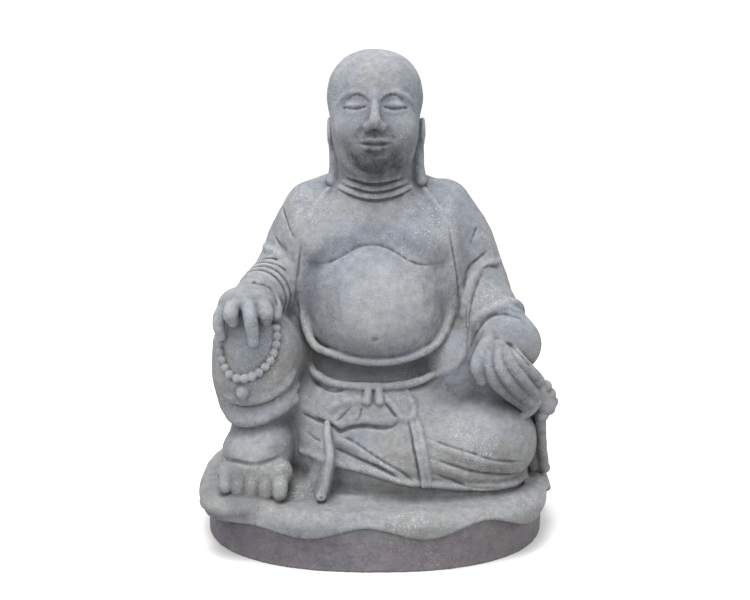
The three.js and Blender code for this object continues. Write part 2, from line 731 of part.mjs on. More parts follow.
// Right foot: instep, toes and the crease behind them.
block.add(egg([-215, -160, 92], [66, 56, 22]), 14);
block.add(egg([-118, -96, 102], [50, 60, 22]), 18);
block.add(egg([-190, -108, 150], [60, 73, 63]), 8);
block.add(egg([-176, -112, 176], [46, 62, 44]), 10);
block.add(limb([[-233, -156, 136], [-196, -163, 136], [-155, -160, 138]], [20, 22.5, 24], 8), 6);
[
  [-237, 10.5, 122],
  [-217, 10.5, 117],
  [-196, 11, 113],
  [-174, 11, 111],
  [-151, 12.5, 112],
].forEach(([x, r, z]) => {
  block.add(
    limb([[x, -150, 144], [x, -170, 137], [x, -180, 124], [x, -183, z]], [r - 2, r, r + 1, r], 9),
    4,
  );
});
block.relief([[-246, 158], [-218, 160], [-186, 159], [-150, 167]], { radius: 4, height: -3.5, blend: 2 });

// Right hand, resting on the knee.
block.add(egg([-195, -131, 350], [44, 42, 58]), 10);
block.add(egg([-200, -130, 402], [48, 46, 34], [-28, 0, 0]), 8);
block.cut(egg([-222, -176, 372], [14, 9, 8]), 4);
block.cut(egg([-168, -174, 377], [11, 9, 7]), 4);
[
  [[[-228, -130, 406], [-240, -150, 398], [-244, -160, 380], [-240, -161, 361]], 10.5],
  [[[-214, -138, 413], [-221, -167, 409], [-222, -180, 400], [-219, -176, 389]], 12.5],
  [[[-198, -138, 415], [-196, -171, 412], [-191, -187, 394], [-188, -184, 358]], 11.5],
  [[[-182, -134, 411], [-173, -164, 409], [-168, -178, 401], [-169, -172, 391]], 12.5],
  [[[-168, -112, 412], [-158, -130, 405], [-154, -146, 391]], 11],
].forEach(([finger, thick]) => {
  block.add(limb(finger, [thick, thick, thick - 0.5, thick - 3], 10), 4.5);
});

// String of beads hanging from the hand over the leg, with a pendant.
const beads = [
  [-244, 346], [-243, 331], [-239, 317], [-230, 302], [-214, 296], [-199, 298], [-184, 304],
  [-172, 314], [-162, 327], [-156, 342], [-154, 358], [-155, 372],
];
block.drape(beads, 'front', 14).forEach(([x, y, z]) => {
  block.add(egg([x, y - 2.5, z], [7.4, 7.4, 7.4]), 0.8);
});
block.add(egg(block.surface([-208, 0, 273], 1, -1), [11, 9, 12]), 2);

// Left hand: a broad back, a thumb and four long fingers closed on the neck of a bag, whose knot hangs at
// the side.
block.add(egg([190, -50, 285], [56, 52, 60]), 16);
block.add(egg([224, -90, 332], [45, 41, 46], [0, 24, 0]), 8);
block.add(
  limb([[184, -118, 348], [168, -134, 326], [162, -140, 304], [170, -134, 284]], [12, 12, 11.5, 9], 10),
  3,
);
block.add(limb([[200, -112, 322], [224, -108, 286], [252, -92, 252]], [25, 27, 22], 8), 4);
block.add(limb([[262, -92, 254], [280, -86, 230]], [18, 17], 3), 4);
[
  [[186, -128, 340], [179, -140, 316], [190, -136, 284], [213, -124, 258], [243, -106, 232]],
  [[196, -130, 342], [196, -144, 313], [214, -139, 282], [234, -125, 257], [254, -107, 238]],
  [[204, -126, 342], [212, -142, 317], [232, -135, 289], [250, -117, 262], [263, -101, 248]],
  [[212, -120, 342], [228, -136, 319], [246, -124, 298], [262, -108, 278], [268, -98, 268]],
].forEach((finger) => {
  block.add(limb(finger, [8, 10, 10.5, 10, 9], 14), 3);
});
block.relief([[205, 347], [217, 340], [234, 324], [249, 305]], { radius: 3, height: -2.6, blend: 2 });
block.add(
  limb(
    [[267, -98, 276], [269, -100, 258], [263, -101, 240], [250, -104, 224], [240, -108, 216]],
    [7, 9, 9, 9, 7],
    14,
  ),
  2,
);
[
  [278, -90, 262, 10],
  [285, -84, 247, 11],
  [292, -78, 232, 9],
  [286, -80, 220, 10],
  [274, -86, 212, 11],
].forEach(([x, y, z, r]) => {
  block.add(egg([x, y, z], [r, r + 2, r]), 2.5);
});
block.add(
  limb([[270, -80, 216], [274, -72, 190], [279, -56, 150], [286, -36, 106]], [11, 9, 8.5, 8.5], 12),
  3,
);
block.add(egg([287, -34, 103], [10, 11, 9]), 2);
block.add(limb([[258, -62, 214], [262, -52, 170], [268, -30, 108]], [10, 10, 12], 6), 4);

// Sash: the knot and the bow at its right.
[-11, 6].forEach((x) => {
  const [top, foot] = block.drape([[x, 265], [x * 1.15, 250]], 'front', 1);
  block.add(bone(top, foot, 6.5, 7.5), 1.5);
});
block.relief(
  [[14, 258], [26, 245], [36, 232], [46, 222], [58, 223], [62, 236], [57, 250], [50, 262]],
  { radius: 6, height: 3.5, blend: 3 },
);
block.relief(
  [[-14, 252], [-30, 250], [-52, 246], [-70, 236], [-82, 222]],
  { radius: 9, height: 3.5, blend: 3 },
);
// Cloth: soft rolls, and the thin cut lines that set them off.
[
  [[[-116, 233], [-80, 224], [-56, 213], [-38, 219], [-16, 222], [6, 220], [32, 222]], 9, 3],
  [[[-85, 192], [-46, 186], [-12, 170], [20, 154], [52, 136]], 11, 3.5],
  [[[-119, 168], [-82, 165], [-32, 152], [16, 141], [58, 129]], 8, 3],
  [[[86, 128], [135, 120], [190, 112], [240, 106]], 8, 3],
  [[[84, 190], [118, 180], [160, 164], [210, 148]], 10, 3],
  [[[86, 161], [118, 149], [165, 130], [214, 122]], 9, 3],
  [[[-233, 262], [-205, 258], [-172, 264], [-146, 278], [-130, 296]], 10, 3],
  [[[-238, 235], [-202, 235], [-168, 243], [-143, 255], [-127, 268]], 12, 4],
  [[[-183, 478], [-160, 474], [-142, 460], [-130, 444]], 7, 2.5],
  [[[206, 456], [180, 452], [160, 436], [148, 410], [143, 378]], 8, 3],
  [[[150, 340], [156, 364], [170, 383], [192, 393], [214, 392], [230, 386]], 7, 2],
].forEach(([path, radius, height]) => {
  block.relief(path, { radius, height, blend: 5 });
});
block.add(
  limb(
    [
      [-239, -104, 233], [-225, -142, 224], [-202, -158, 223], [-174, -157, 230], [-150, -146, 240],
      [-130, -128, 250],
    ],
    [9, 10, 10, 10, 10, 9],
    20,
  ),
  7,
);
// The hem of the folded leg lies on the base.
const hem = [
  [-119, -136, 156], [-96, -156, 156], [-82, -166, 154], [-60, -165, 146], [-32, -172, 141],
  [-3, -179, 136], [22, -181, 128], [51, -180, 119], [87, -177, 115], [135, -171, 109],
  [184, -154, 102], [224, -128, 98], [248, -84, 97],
];
block.add(limb(hem.map(([x, y, z]) => [x, y + 2, z + 9]), [4, 7, 7, 7, 7, 5], 40), 4);
block.cut(limb(hem.map(([x, y, z]) => [x, y - 1, z]), [1.5, 3.4, 3.4, 3.4, 3.4, 1.5], 40), 1.5);
// The deeper folds and hems, cut in.
[
  [[
    [-106, 462], [-84, 464], [-64, 473], [-44, 485], [-24, 494], [-4, 497], [16, 494], [34, 486],
    [50, 476], [66, 468], [84, 463], [110, 463],
  ], 2.4],
  [[[-118, 500], [-124, 450], [-126, 400], [-121, 362]], 2.4],
  [[[119, 520], [126, 480], [133, 440], [136, 400], [132, 362]], 2],
  [[[-178, 471], [-163, 465], [-148, 453], [-137, 437], [-134, 417]], 2.6],
  [[[-206, 438], [-189, 441], [-169, 435], [-157, 422], [-151, 406]], 3],
  [[[186, 476], [169, 465], [154, 453], [145, 429], [141, 402], [140, 376]], 2.6],
  [[[175, 443], [162, 420], [153, 394], [149, 363], [150, 335]], 2.4],
  [[[153, 322], [157, 342], [164, 358], [176, 376], [195, 386], [215, 385], [231, 379], [241, 370]], 3.2],
  [[[-104, 275], [-87, 266], [-67, 262], [-50, 264]], 2.6],
  [[
    [-119, 226], [-100, 220], [-80, 216], [-64, 209], [-56, 204], [-38, 210], [-16, 213], [6, 211],
    [29, 213], [40, 222],
  ], 4],
  [[[-60, 200], [-35, 192], [-9, 177], [16, 162], [41, 147], [62, 130]], 3],
  [[[-114, 200], [-93, 190], [-57, 176], [-22, 163], [13, 150], [51, 130]], 2.8],
  [[[80, 200], [110, 191], [150, 177], [199, 157], [245, 147]], 2.4],
  [[[87, 171], [118, 159], [167, 140], [217, 126], [250, 118]], 2.4],
  [[[-238, 250], [-202, 247], [-168, 254], [-144, 267]], 2.2],
].forEach(([path, depth]) => {
  block.relief(path, { radius: depth + 1.5, height: -depth, blend: 1.5 });
});

// Hanging ends of the sash.
block.add(limb([[-76, -146, 172], [-82, -146, 140], [-92, -140, 106]], [17, 19, 24], 6), 10);
block.add(
  limb(
    [
      [-76, -154, 219], [-75, -167, 198], [-71, -176, 176], [-73, -182, 156], [-78, -184, 131],
      [-84, -184, 110],
    ],
    [5, 6.5, 7, 7, 7, 8],
    20,
  ),
  2,
);
block.add(limb([[-72, -166, 160], [-78, -168, 131], [-84, -168, 106]], [10, 11, 12], 6), 4);
block.add(egg([-85, -186, 107], [9, 8, 8]), 2);
block.cut(egg([-85, -195, 107], [3, 4, 3]), 1);
[-4, 4].forEach((shift) => {
  block.relief(
    beside([[62, 222], [67, 202], [71, 183], [76, 161], [80, 137], [82, 118]], shift),
    { radius: 7, height: 4, blend: 1.5 },
  );
});
block.relief(
  [[52, 222], [57, 202], [61, 180], [66, 158], [70, 134], [72, 118]],
  { radius: 2.6, height: -2.4, blend: 1.5 },
);

// Back and sides: the same robe, plainer.
block.relief(
  [[-58, 592], [-30, 576], [0, 571], [30, 576], [58, 592]],
  { radius: 12, height: 5, side: 'back' },
);
block.relief(
  [[-150, 312], [-80, 296], [0, 290], [80, 296], [150, 312]],
  { radius: 15, height: 6, side: 'back' },
);
block.relief(
  [[-138, 129], [-80, 121], [0, 118], [80, 121], [150, 130]],
  { radius: 12, height: 6, side: 'back' },
);
SIDES.forEach((s) => {
  block.relief([[s * 96, 540], [s * 82, 450], [s * 72, 330]], { radius: 9, height: 4, side: 'back' });
  block.relief([[s * 62, 555], [s * 44, 470], [s * 30, 400]], { radius: 8, height: 3, side: 'back' });
  block.relief([[s * 40, 275], [s * 84, 205], [s * 150, 160]], { radius: 9, height: 4, side: 'back' });
  block.relief([[s * 100, 270], [s * 128, 226], [s * 154, 198]], { radius: 9, height: 4, side: 'back' });
});
block.relief([[120, 240], [40, 262], [-40, 290]], { radius: 9, height: 4, side: 'left' });
block.relief([[130, 190], [50, 205], [-20, 230]], { radius: 9, height: 4, side: 'left' });
block.relief([[130, 200], [60, 180], [-20, 150]], { radius: 9, height: 4, side: 'right' });
block.relief([[110, 150], [40, 138], [-20, 122]], { radius: 9, height: 4, side: 'right' });

// More faces are kept on the head, hands, foot and beads than on plain cloth.
const careAt = (x, y, z) => {
  if (z > 590) return 3;
  if (x < -130 && y < -100 && z > 100) return 2.5;
  if (x > 150 && y < -60 && z > 200 && z < 400) return 2;
  return 1;
};
const stone = thin(skin(block), FACES, careAt);

// The underside is cut flat, and the rest of the block is kept as one solid.
const wasm = await Module();
wasm.setup();

function solid(geometry) {
  return new wasm.Manifold(new wasm.Mesh({
    numProp: 3,
    vertProperties: Float32Array.from(geometry.attributes.position.array),
    triVerts: Uint32Array.from(geometry.index.array),
  }));
}

const ground = new THREE.BoxGeometry(2 * HIGH[0], 2 * HIGH[1], 100);
ground.deleteAttribute('normal');
ground.deleteAttribute('uv');
ground.translate(0, 0, -50);
const carved = solid(stone).subtract(solid(mergeVertices(ground)));
const mesh = carved.getMesh();
const geometry = new THREE.BufferGeometry();
geometry.setAttribute('position', new THREE.BufferAttribute(mesh.vertProperties, 3));
geometry.setIndex(new THREE.BufferAttribute(mesh.triVerts, 1));

const material = new THREE.MeshStandardMaterial({ color: 0x8a8f93, roughness: 0.9, metalness: 0 });
const buddha = new THREE.Mesh(geometry, material);
buddha.name = 'seated_buddha';

const group = new THREE.Group();
group.add(buddha);
export default group;
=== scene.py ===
"""A seated buddha carved with its base from one block of weathered grey stone."""

import math

import bpy
import numpy as np
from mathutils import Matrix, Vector


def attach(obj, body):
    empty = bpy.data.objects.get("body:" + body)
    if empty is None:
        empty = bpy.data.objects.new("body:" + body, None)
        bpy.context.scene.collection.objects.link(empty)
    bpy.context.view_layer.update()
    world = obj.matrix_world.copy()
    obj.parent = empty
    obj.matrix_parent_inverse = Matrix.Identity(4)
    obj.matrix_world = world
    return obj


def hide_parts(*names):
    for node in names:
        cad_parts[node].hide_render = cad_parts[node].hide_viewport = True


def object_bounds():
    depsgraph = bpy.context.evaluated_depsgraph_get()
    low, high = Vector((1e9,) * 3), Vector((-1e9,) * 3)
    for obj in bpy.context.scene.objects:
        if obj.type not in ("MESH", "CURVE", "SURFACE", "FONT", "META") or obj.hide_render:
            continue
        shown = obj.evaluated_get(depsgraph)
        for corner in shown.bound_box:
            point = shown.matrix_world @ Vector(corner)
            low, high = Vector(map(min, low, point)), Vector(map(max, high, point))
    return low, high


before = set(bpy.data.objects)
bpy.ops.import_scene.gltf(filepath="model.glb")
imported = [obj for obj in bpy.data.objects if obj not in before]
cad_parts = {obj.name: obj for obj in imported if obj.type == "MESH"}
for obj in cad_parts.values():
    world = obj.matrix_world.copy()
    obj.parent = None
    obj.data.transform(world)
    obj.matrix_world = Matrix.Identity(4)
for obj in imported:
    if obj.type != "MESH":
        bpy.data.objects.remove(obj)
cad_low, cad_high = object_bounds()

# Driving sizes in millimetres. MM turns them into metres by the solid's own height.
HEIGHT = 800
MM = (cad_high.z - cad_low.z) / HEIGHT
BASE_HALF_WIDTH = 298
BASE_HALF_DEPTH = 245
BASE_RIM = 96
BASE_CROWN = 109
PLINTH_TOP = 84
PLINTH_INSET = 15
WAVES = 10
WAVE_HEIGHT = 65
WAVE_DEPTH = 12
HEAD_CENTRE = (0, -8, 698)
HEAD_TILT = math.radians(19)
SIDES = (-1, 1)

# The block's corners, the size of its cells, and the triangles that its mesh is thinned to.
LOW = np.array([-308.0, -256.0, -12.0])
HIGH = np.array([308.0, 256.0, 808.0])
CELL = 2.0
TRIANGLES = 190000
# Where nothing has been added yet, the distance to the stone.
FAR = 1000
# Axis and direction that each side of the block faces. Left and right are as seen from the front.
FACING = {"front": (1, -1), "back": (1, 1), "left": (0, -1), "right": (0, 1)}
# Longest step between the points of a line laid on the surface.
DRAPE_STEP = 6

# Camera and studio, in metres and degrees.
CAMERA_PLACE = (0, -2.2, 0.85)
CAMERA_DOWN = 11.92
SENSOR_WIDTH = 36
LENS = 64.5
STUDIO_LIGHT = 1.8
FLOOR_GREY = 0.57
FLOOR_SIZE = 60

# Colours of the stone.
COOL_GREY = (0.111, 0.123, 0.145, 1)
WARM_GREY = (0.136, 0.138, 0.140, 1)
OCHRE_GREY = (0.136, 0.131, 0.114, 1)
WORN = (0.215, 0.223, 0.232, 1)
CHALK = (0.325, 0.331, 0.325, 1)
# Painted shade and dirt in the hollows, then the colour of the dark pits.
HOLLOW_SHADE_AND_DIRT = (0.030, 0.030, 0.033, 1)
SOOT = (0.032, 0.031, 0.032, 1)
PLINTH_TINT = (0.74, 0.66, 0.70, 1)
# Patches of painted shade, darker first, then of painted light, paler: colour, strength, middle and radius.
SHADE_AND_LIGHT_PATCHES = (
    # Painted shade: lower face, chin, under the navel, left hand, toes and the base beside them.
    ((0.050, 0.051, 0.055, 1), 0.45, (0, -0.100, 0.660), 0.095),
    ((0.018, 0.018, 0.017, 1), 1.0, (0, -0.095, 0.620), 0.058),
    ((0.030, 0.030, 0.031, 1), 0.32, (0, -0.125, 0.318), 0.070),
    ((0.030, 0.028, 0.027, 1), 0.5, (0.215, -0.125, 0.255), 0.045),
    ((0.030, 0.030, 0.031, 1), 0.5, (-0.195, -0.195, 0.112), 0.050),
    ((0.050, 0.050, 0.052, 1), 0.45, (-0.255, -0.150, 0.085), 0.080),
    # Painted light: belly, right ankle and left thigh.
    ((0.235, 0.236, 0.232, 1), 0.55, (0.020, -0.140, 0.410), 0.090),
    ((0.225, 0.230, 0.236, 1), 0.5, (-0.187, -0.150, 0.190), 0.045),
    ((0.225, 0.230, 0.236, 1), 0.4, (0.160, -0.150, 0.215), 0.060),
)


# Forms: each is the low and high corner of a box that holds it, and a distance that is negative inside.
def turned(turn):
    """Axes of a form turned about X, then Y, then Z, in degrees."""
    a, b, c = (math.radians(t) for t in turn)
    rx = np.array([[1, 0, 0], [0, math.cos(a), -math.sin(a)], [0, math.sin(a), math.cos(a)]])
    ry = np.array([[math.cos(b), 0, math.sin(b)], [0, 1, 0], [-math.sin(b), 0, math.cos(b)]])
    rz = np.array([[math.cos(c), -math.sin(c), 0], [math.sin(c), math.cos(c), 0], [0, 0, 1]])
    return rx @ ry @ rz


def egg(centre, radii, turn=(0, 0, 0)):
    """An ellipsoid."""
    centre, radii = np.array(centre, float), np.array(radii, float)
    axes = turned(turn)
    reach = np.sqrt(((axes * radii) ** 2).sum(axis=1))

    def distance(x, y, z):
        d = (x - centre[0], y - centre[1], z - centre[2])
        near = far = 0
        for i in range(3):
            along = sum(axes[j, i] / radii[i] * d[j] for j in range(3) if abs(axes[j, i]) > 1e-9)
            near = near + along ** 2
            far = far + (along / radii[i]) ** 2
        near = np.sqrt(near)
        return near * (near - 1) / np.sqrt(far + 1e-9)

    return centre - reach, centre + reach, distance


def bone(a, b, ra, rb):
    """A straight round bar from a to b whose radius goes from ra to rb."""
    a, b = np.array(a, float), np.array(b, float)
    reach = max(ra, rb)
    ab = b - a
    length2 = max((ab ** 2).sum(), 1e-9)

    def distance(x, y, z):
        dx, dy, dz = x - a[0], y - a[1], z - a[2]
        t = np.clip((dx * ab[0] + dy * ab[1] + dz * ab[2]) / length2, 0, 1)
        gap = (dx - t * ab[0]) ** 2 + (dy - t * ab[1]) ** 2 + (dz - t * ab[2]) ** 2
        return np.sqrt(gap) - (ra + (rb - ra) * t)

    return np.minimum(a, b) - reach, np.maximum(a, b) + reach, distance


def curve_points(points, places):
    """Places from 0 to 1 on a smooth curve through the points."""
    p = np.array(points, float)
    p = np.vstack([2 * p[0] - p[1], p, 2 * p[-1] - p[-2]])
    found = []
    for t in places:
        place = min(max(t, 0), 1) * (len(p) - 3)
        i = min(int(place), len(p) - 4)
        w = place - i
        p0, p1, p2, p3 = p[i:i + 4]
        d0, d1, d2 = (max(np.linalg.norm(b - a) ** 0.5, 1e-4) for a, b in ((p0, p1), (p1, p2), (p2, p3)))
        t1 = ((p1 - p0) / d0 - (p2 - p0) / (d0 + d1) + (p2 - p1) / d1) * d1
        t2 = ((p2 - p1) / d1 - (p3 - p1) / (d1 + d2) + (p3 - p2) / d2) * d1
        c2 = -3 * p1 + 3 * p2 - 2 * t1 - t2
        c3 = 2 * p1 - 2 * p2 + t1 + t2
        found.append(p1 + t1 * w + c2 * w ** 2 + c3 * w ** 3)
    return np.array(found)


def spaced_points(points, count):
    """Points at even steps along the smooth curve."""
    t = np.linspace(0, 1, 200)
    fine = curve_points(points, t)
    run = np.concatenate([[0], np.cumsum(np.linalg.norm(np.diff(fine, axis=0), axis=1))])
    return curve_points(points, np.interp(np.linspace(0, run[-1], count + 1), run, t))


def beside(path, distance):
    """The path moved towards its right-hand side."""
    along = np.gradient(np.array(path, float), axis=0)
    along /= np.linalg.norm(along, axis=1, keepdims=True)
    return np.array(path) + distance * np.stack([along[:, 1], -along[:, 0]], axis=1)


def limb(points, radii, runs=0):
    """A smooth curve through the points, as bones with the radii spread along it."""
    steps = runs or (len(points) - 1) * 5
    t = np.linspace(0, 1, steps + 1)
    centres = curve_points(points, t)
    thick = np.interp(t * (len(radii) - 1), range(len(radii)), radii)
    return [bone(centres[i], centres[i + 1], thick[i], thick[i + 1]) for i in range(steps)]


def hoop(centre, along, radius, thickness):
    """A roll round a limb."""
    axis = np.array(along, float) / np.linalg.norm(along)
    across = np.cross([0, 0, 1], axis)
    across /= np.linalg.norm(across)
    up = np.cross(axis, across)
    steps = 28
    points = []
    for i in range(steps + 1):
        a = 2 * math.pi * i / steps
        points.append(np.array(centre) + radius * (across * math.cos(a) + up * math.sin(a)))
    return limb(points, [thickness, thickness], steps)


def rounded_max(a, b, r):
    """The overlap of two distances, with its edge rounded."""
    both = np.maximum(a + r, 0) ** 2 + np.maximum(b + r, 0) ** 2
    return np.sqrt(both) + np.minimum(np.maximum(a, b) + r, 0) - r


def oval_slab(half_width, half_depth, bottom, top, shoulder, lip, squareness):
    """A slab of squared oval plan. The height of its underside depends on the angle from the front."""
    def distance(x, y, z):
        norm = np.abs(x / half_width) ** squareness + np.abs(y / half_depth) ** squareness
        norm = np.maximum(norm ** (1 / squareness), 1e-3)
        side = np.sqrt(x ** 2 + y ** 2) * (1 - 1 / norm)
        floor = bottom(np.arctan2(x / half_width, -y / half_depth))
        return rounded_max(rounded_max(side, z - top, shoulder), floor - z, lip)

    return np.array([-half_width, -half_depth, -40]), np.array([half_width, half_depth, top]), distance


def flatten(forms):
    """One list of forms from nested lists."""
    if isinstance(forms, tuple):
        return [forms]
    return [f for form in forms for f in flatten(form)]


class Block:
    """The stone as signed distances on a grid, negative inside."""

    def __init__(self, low, high, cell):
        self.low, self.cell = low, cell
        self.count = np.round((high - low) / cell).astype(int) + 1
        self.field = np.full(self.count, FAR, np.float32)
        self.axes = [(low[i] + cell * np.arange(self.count[i])).astype(np.float32) for i in range(3)]

    def work(self, forms, blend, cutting, inner=0):
        """Joins the forms to each other, then adds them to the block with a fillet, or cuts them out."""
        forms = flatten(forms)
        reach = blend + 2 * self.cell
        spans = []
        for low, high, _ in forms:
            first = np.clip(np.floor((low - reach - self.low) / self.cell).astype(int), 0, self.count)
            last = np.clip(np.ceil((high + reach - self.low) / self.cell).astype(int) + 1, 0, self.count)
            spans.append((first, last))
        start = np.min([s[0] for s in spans], axis=0)
        stop = np.max([s[1] for s in spans], axis=0)
        if (stop <= start).any():
            return
        tool = np.full(stop - start, FAR, np.float32)
        for (low, high, distance), (first, last) in zip(forms, spans):
            if (last <= first).any():
                continue
            x, y, z = (self.axes[i][first[i]:last[i]] for i in range(3))
            part = tuple(slice(a, b) for a, b in zip(first - start, last - start))
            d = distance(x[:, None, None], y[None, :, None], z[None, None, :]).astype(np.float32)
            near = np.maximum(inner - np.abs(tool[part] - d), 0) if inner else 0
            tool[part] = np.minimum(tool[part], d) - near * near / (4 * max(inner, 1))
        whole = tuple(slice(a, b) for a, b in zip(start, stop))
        a = -self.field[whole] if cutting else self.field[whole]
        joined = np.minimum(a, tool)
        if blend > 0:
            near = np.maximum(blend - np.abs(a - tool), 0)
            joined -= near * near / (4 * blend)
        self.field[whole] = -joined if cutting else joined

    def add(self, forms, blend=6, inner=0):
        self.work(forms, blend, False, inner)

    def cut(self, forms, blend=4):
        self.work(forms, blend, True)

    def surface(self, point, axis, sign):
        """Where the surface is first met, coming from one side."""
        found = np.array(point, float)
        cells = np.round((found - self.low) / self.cell).astype(int)
        cells = np.clip(cells, 0, self.count - 1)
        line = self.field[tuple(slice(None) if i == axis else cells[i] for i in range(3))]
        line = line if sign < 0 else line[::-1]
        inside = np.flatnonzero(line < 0)
        if len(inside) and inside[0] > 0:
            n = inside[0]
            place = n - line[n] / (line[n] - line[n - 1])
            if sign > 0:
                place = len(line) - 1 - place
            found[axis] = self.low[axis] + place * self.cell
        return found

    def met(self, start, end, steps=240):
        """Where a straight line first meets the stone."""
        line = np.array(start) + np.linspace(0, 1, steps)[:, None] * (np.array(end) - np.array(start))
        cells = np.round((line - self.low) / self.cell).astype(int)
        values = self.field[tuple(cells.T)]
        n = max(int(np.argmax(values < 0)), 1)
        share = values[n - 1] / max(values[n - 1] - values[n], 1e-6)
        return line[n - 1] + min(max(share, 0), 1) * (line[n] - line[n - 1])

    def drape(self, path, side="front", steps=0):
        """Lays a path on one side of the surface. Its points are (x, z), or (y, z) on the left and right."""
        axis, sign = FACING[side]
        flat = [(p[0], 0, p[1]) if axis == 1 else (0, p[0], p[1]) for p in path]
        fine = curve_points(flat, np.linspace(0, 1, 60))
        length = np.linalg.norm(np.diff(fine, axis=0), axis=1).sum()
        count = steps or max(4, math.ceil(length / DRAPE_STEP))
        return [self.surface(p, axis, sign) for p in spaced_points(flat, count)]

    def relief(self, path, radius, height, side="front", blend=4):
        """A raised roll along a path on the surface, or a carved line where the height is negative."""
        axis, sign = FACING[side]
        sink = radius - height if height > 0 else -(radius + height)
        laid = np.array(self.drape(path, side))
        laid[:, axis] -= sign * sink
        ends = radius * (0.5 if height > 0 else 0.25)
        forms = limb(laid, [ends] + [radius] * 5 + [ends], len(laid) - 1)
        self.work(forms, blend, height < 0)


def skin(block):
    """The surface: one corner in each cell that it crosses, and one face round each crossed edge."""
    field, cell = block.field, block.cell
    inside = field < 0
    mixed = np.zeros(np.array(field.shape) - 1, bool)
    for axis in range(3):
        change = np.diff(inside.astype(np.int8), axis=axis) != 0
        others = [i for i in range(3) if i != axis]
        for a in (0, 1):
            for b in (0, 1):
                cut = [slice(None)] * 3
                cut[others[0]] = slice(a, a + mixed.shape[others[0]])
                cut[others[1]] = slice(b, b + mixed.shape[others[1]])
                mixed |= change[tuple(cut)]
    cells = np.argwhere(mixed)
    number = np.full(mixed.shape, -1, np.int32)
    number[mixed] = np.arange(len(cells), dtype=np.int32)
    corners = np.array([[i, j, k] for i in (0, 1) for j in (0, 1) for k in (0, 1)])
    values = np.stack([field[tuple((cells + c).T)] for c in corners], axis=1)
    total = np.zeros((len(cells), 3))
    crossed = np.zeros(len(cells))
    for a in range(8):
        for b in range(a + 1, 8):
            if np.abs(corners[a] - corners[b]).sum() != 1:
                continue
            hit = (values[:, a] < 0) != (values[:, b] < 0)
            share = values[hit, a] / (values[hit, a] - values[hit, b])
            total[hit] += corners[a] + share[:, None] * (corners[b] - corners[a])
            crossed[hit] += 1
    points = block.low + (cells + total / crossed[:, None]) * cell
    faces = []
    for axis in range(3):
        u, v = (axis + 1) % 3, (axis + 2) % 3
        first = [slice(1, -1)] * 3
        first[axis] = slice(0, -1)
        second = list(first)
        second[axis] = slice(1, None)
        a, b = inside[tuple(first)], inside[tuple(second)]
        for here, flip in ((a & ~b, False), (~a & b, True)):
            edges = np.argwhere(here)
            edges[:, u] += 1
            edges[:, v] += 1
            round_edge = []
            for du, dv in ((-1, -1), (0, -1), (0, 0), (-1, 0)):
                at = edges.copy()
                at[:, u] += du
                at[:, v] += dv
                round_edge.append(number[tuple(at.T)])
            quads = np.stack(round_edge[::-1] if flip else round_edge, axis=1)
            faces.append(quads)
    return points, np.concatenate(faces)


def wavy_edge(angle):
    """Height of the cloth's lower edge, going round the base from the front."""
    wave = WAVE_DEPTH * (0.75 + 0.35 * np.sin(angle)) * np.cos(WAVES * (angle + 0.05))
    return WAVE_HEIGHT + wave + 4 * np.sin(angle)


block = Block(LOW, HIGH, CELL)

# Base: a plinth under a cloth with a wavy edge, a little crowned.
block.add(oval_slab(
    BASE_HALF_WIDTH - PLINTH_INSET, BASE_HALF_DEPTH - PLINTH_INSET * 0.6,
    lambda angle: -30, PLINTH_TOP, shoulder=12, lip=8, squareness=2.3), 0)
block.add(oval_slab(
    BASE_HALF_WIDTH, BASE_HALF_DEPTH,
    wavy_edge, BASE_RIM, shoulder=26, lip=6, squareness=2.7), 3)
block.add(egg([0, 10, 60], [280, 222, BASE_CROWN - 60]), 14)
block.add(egg([-30, -55, 78], [150, 135, 46]), 20)

# Seat, hips and back, under a plain robe.
block.add(egg([-5, 42, 190], [200, 150, 120]), 0)
block.add(bone([0, 40, 235], [0, 24, 440], 145, 104), 50)
block.add(egg([0, 20, 450], [134, 86, 136]), 40)
for s in SIDES:
    block.add(egg([s * 80, 14, 530], [68, 58, 43], [0, s * 29, 0]), 26)
for s in SIDES:
    block.add(egg([s * 118, -18, 440], [36, 64, 120]), 24)

# Legs. The right one is raised, with its foot flat on the base; the left one lies folded in front.
block.add(limb([[-100, 60, 215], [-160, -20, 290], [-190, -93, 326]], [80, 75, 67], 8), 22)
block.add(limb([[-192, -98, 326], [-194, -102, 290], [-191, -96, 258]], [68, 69, 66], 8), 14)
block.add(bone([-184, -76, 250], [-184, -84, 150], 54, 50), 6)
block.add(limb([[90, 60, 195], [160, -20, 182], [191, -78, 168]], [90, 82, 70], 8), 24)
block.add(limb(
    [[192, -80, 168], [130, -106, 160], [20, -112, 152], [-70, -100, 165]],
    [70, 72, 66, 58], 12), 20)
block.add(egg([-5, -66, 210], [150, 84, 82]), 24)
block.add(limb(
    [[-96, -92, 150], [-20, -118, 130], [70, -126, 112], [160, -112, 104], [211, -66, 108]],
    [44, 44, 44, 44, 42], 12), 14)

# Arms in wide sleeves.
block.add(limb([[-103, 16, 537.5], [-130, 12, 480], [-146, -8, 432]], [47.5, 51, 50], 8), 20)
block.add(limb([[-146, -8, 432], [-168, -58, 420], [-190, -104, 408]], [50, 45, 38], 6), 16)
block.add(limb([[112, 16, 538], [146, 10, 480], [163, -4, 412]], [50, 53, 55], 8), 20)
block.add(limb([[163, -4, 412], [186, -50, 370], [208, -81, 342]], [55, 53, 50], 6), 16)
block.add(limb([[108, 10, 500], [122, -6, 400], [132, -16, 310]], [50, 54, 62], 8), 20)

# Gathers of the right sleeve: raised rings along the forearm, and grooves between all but the first two.
forearm = [-22, -48, -10]
last_ring = 10
for ring in range(last_ring + 1):
    along = ring / last_ring
    middle = [-157 - 26 * along, -32 - 58 * along, 425 - 13 * along]
    if ring % 2 == 0:
        block.add(hoop(middle, forearm, 42.5 - 7 * along, 7), 3)
    elif ring > 1:
        block.cut(hoop(middle, forearm, 48.4 - 7.6 * along, 2.6), 1.5)
# Rolled cuff of the left sleeve.
block.add(hoop([198, -64, 361], [20, -30, -24], 46, 8), 5)

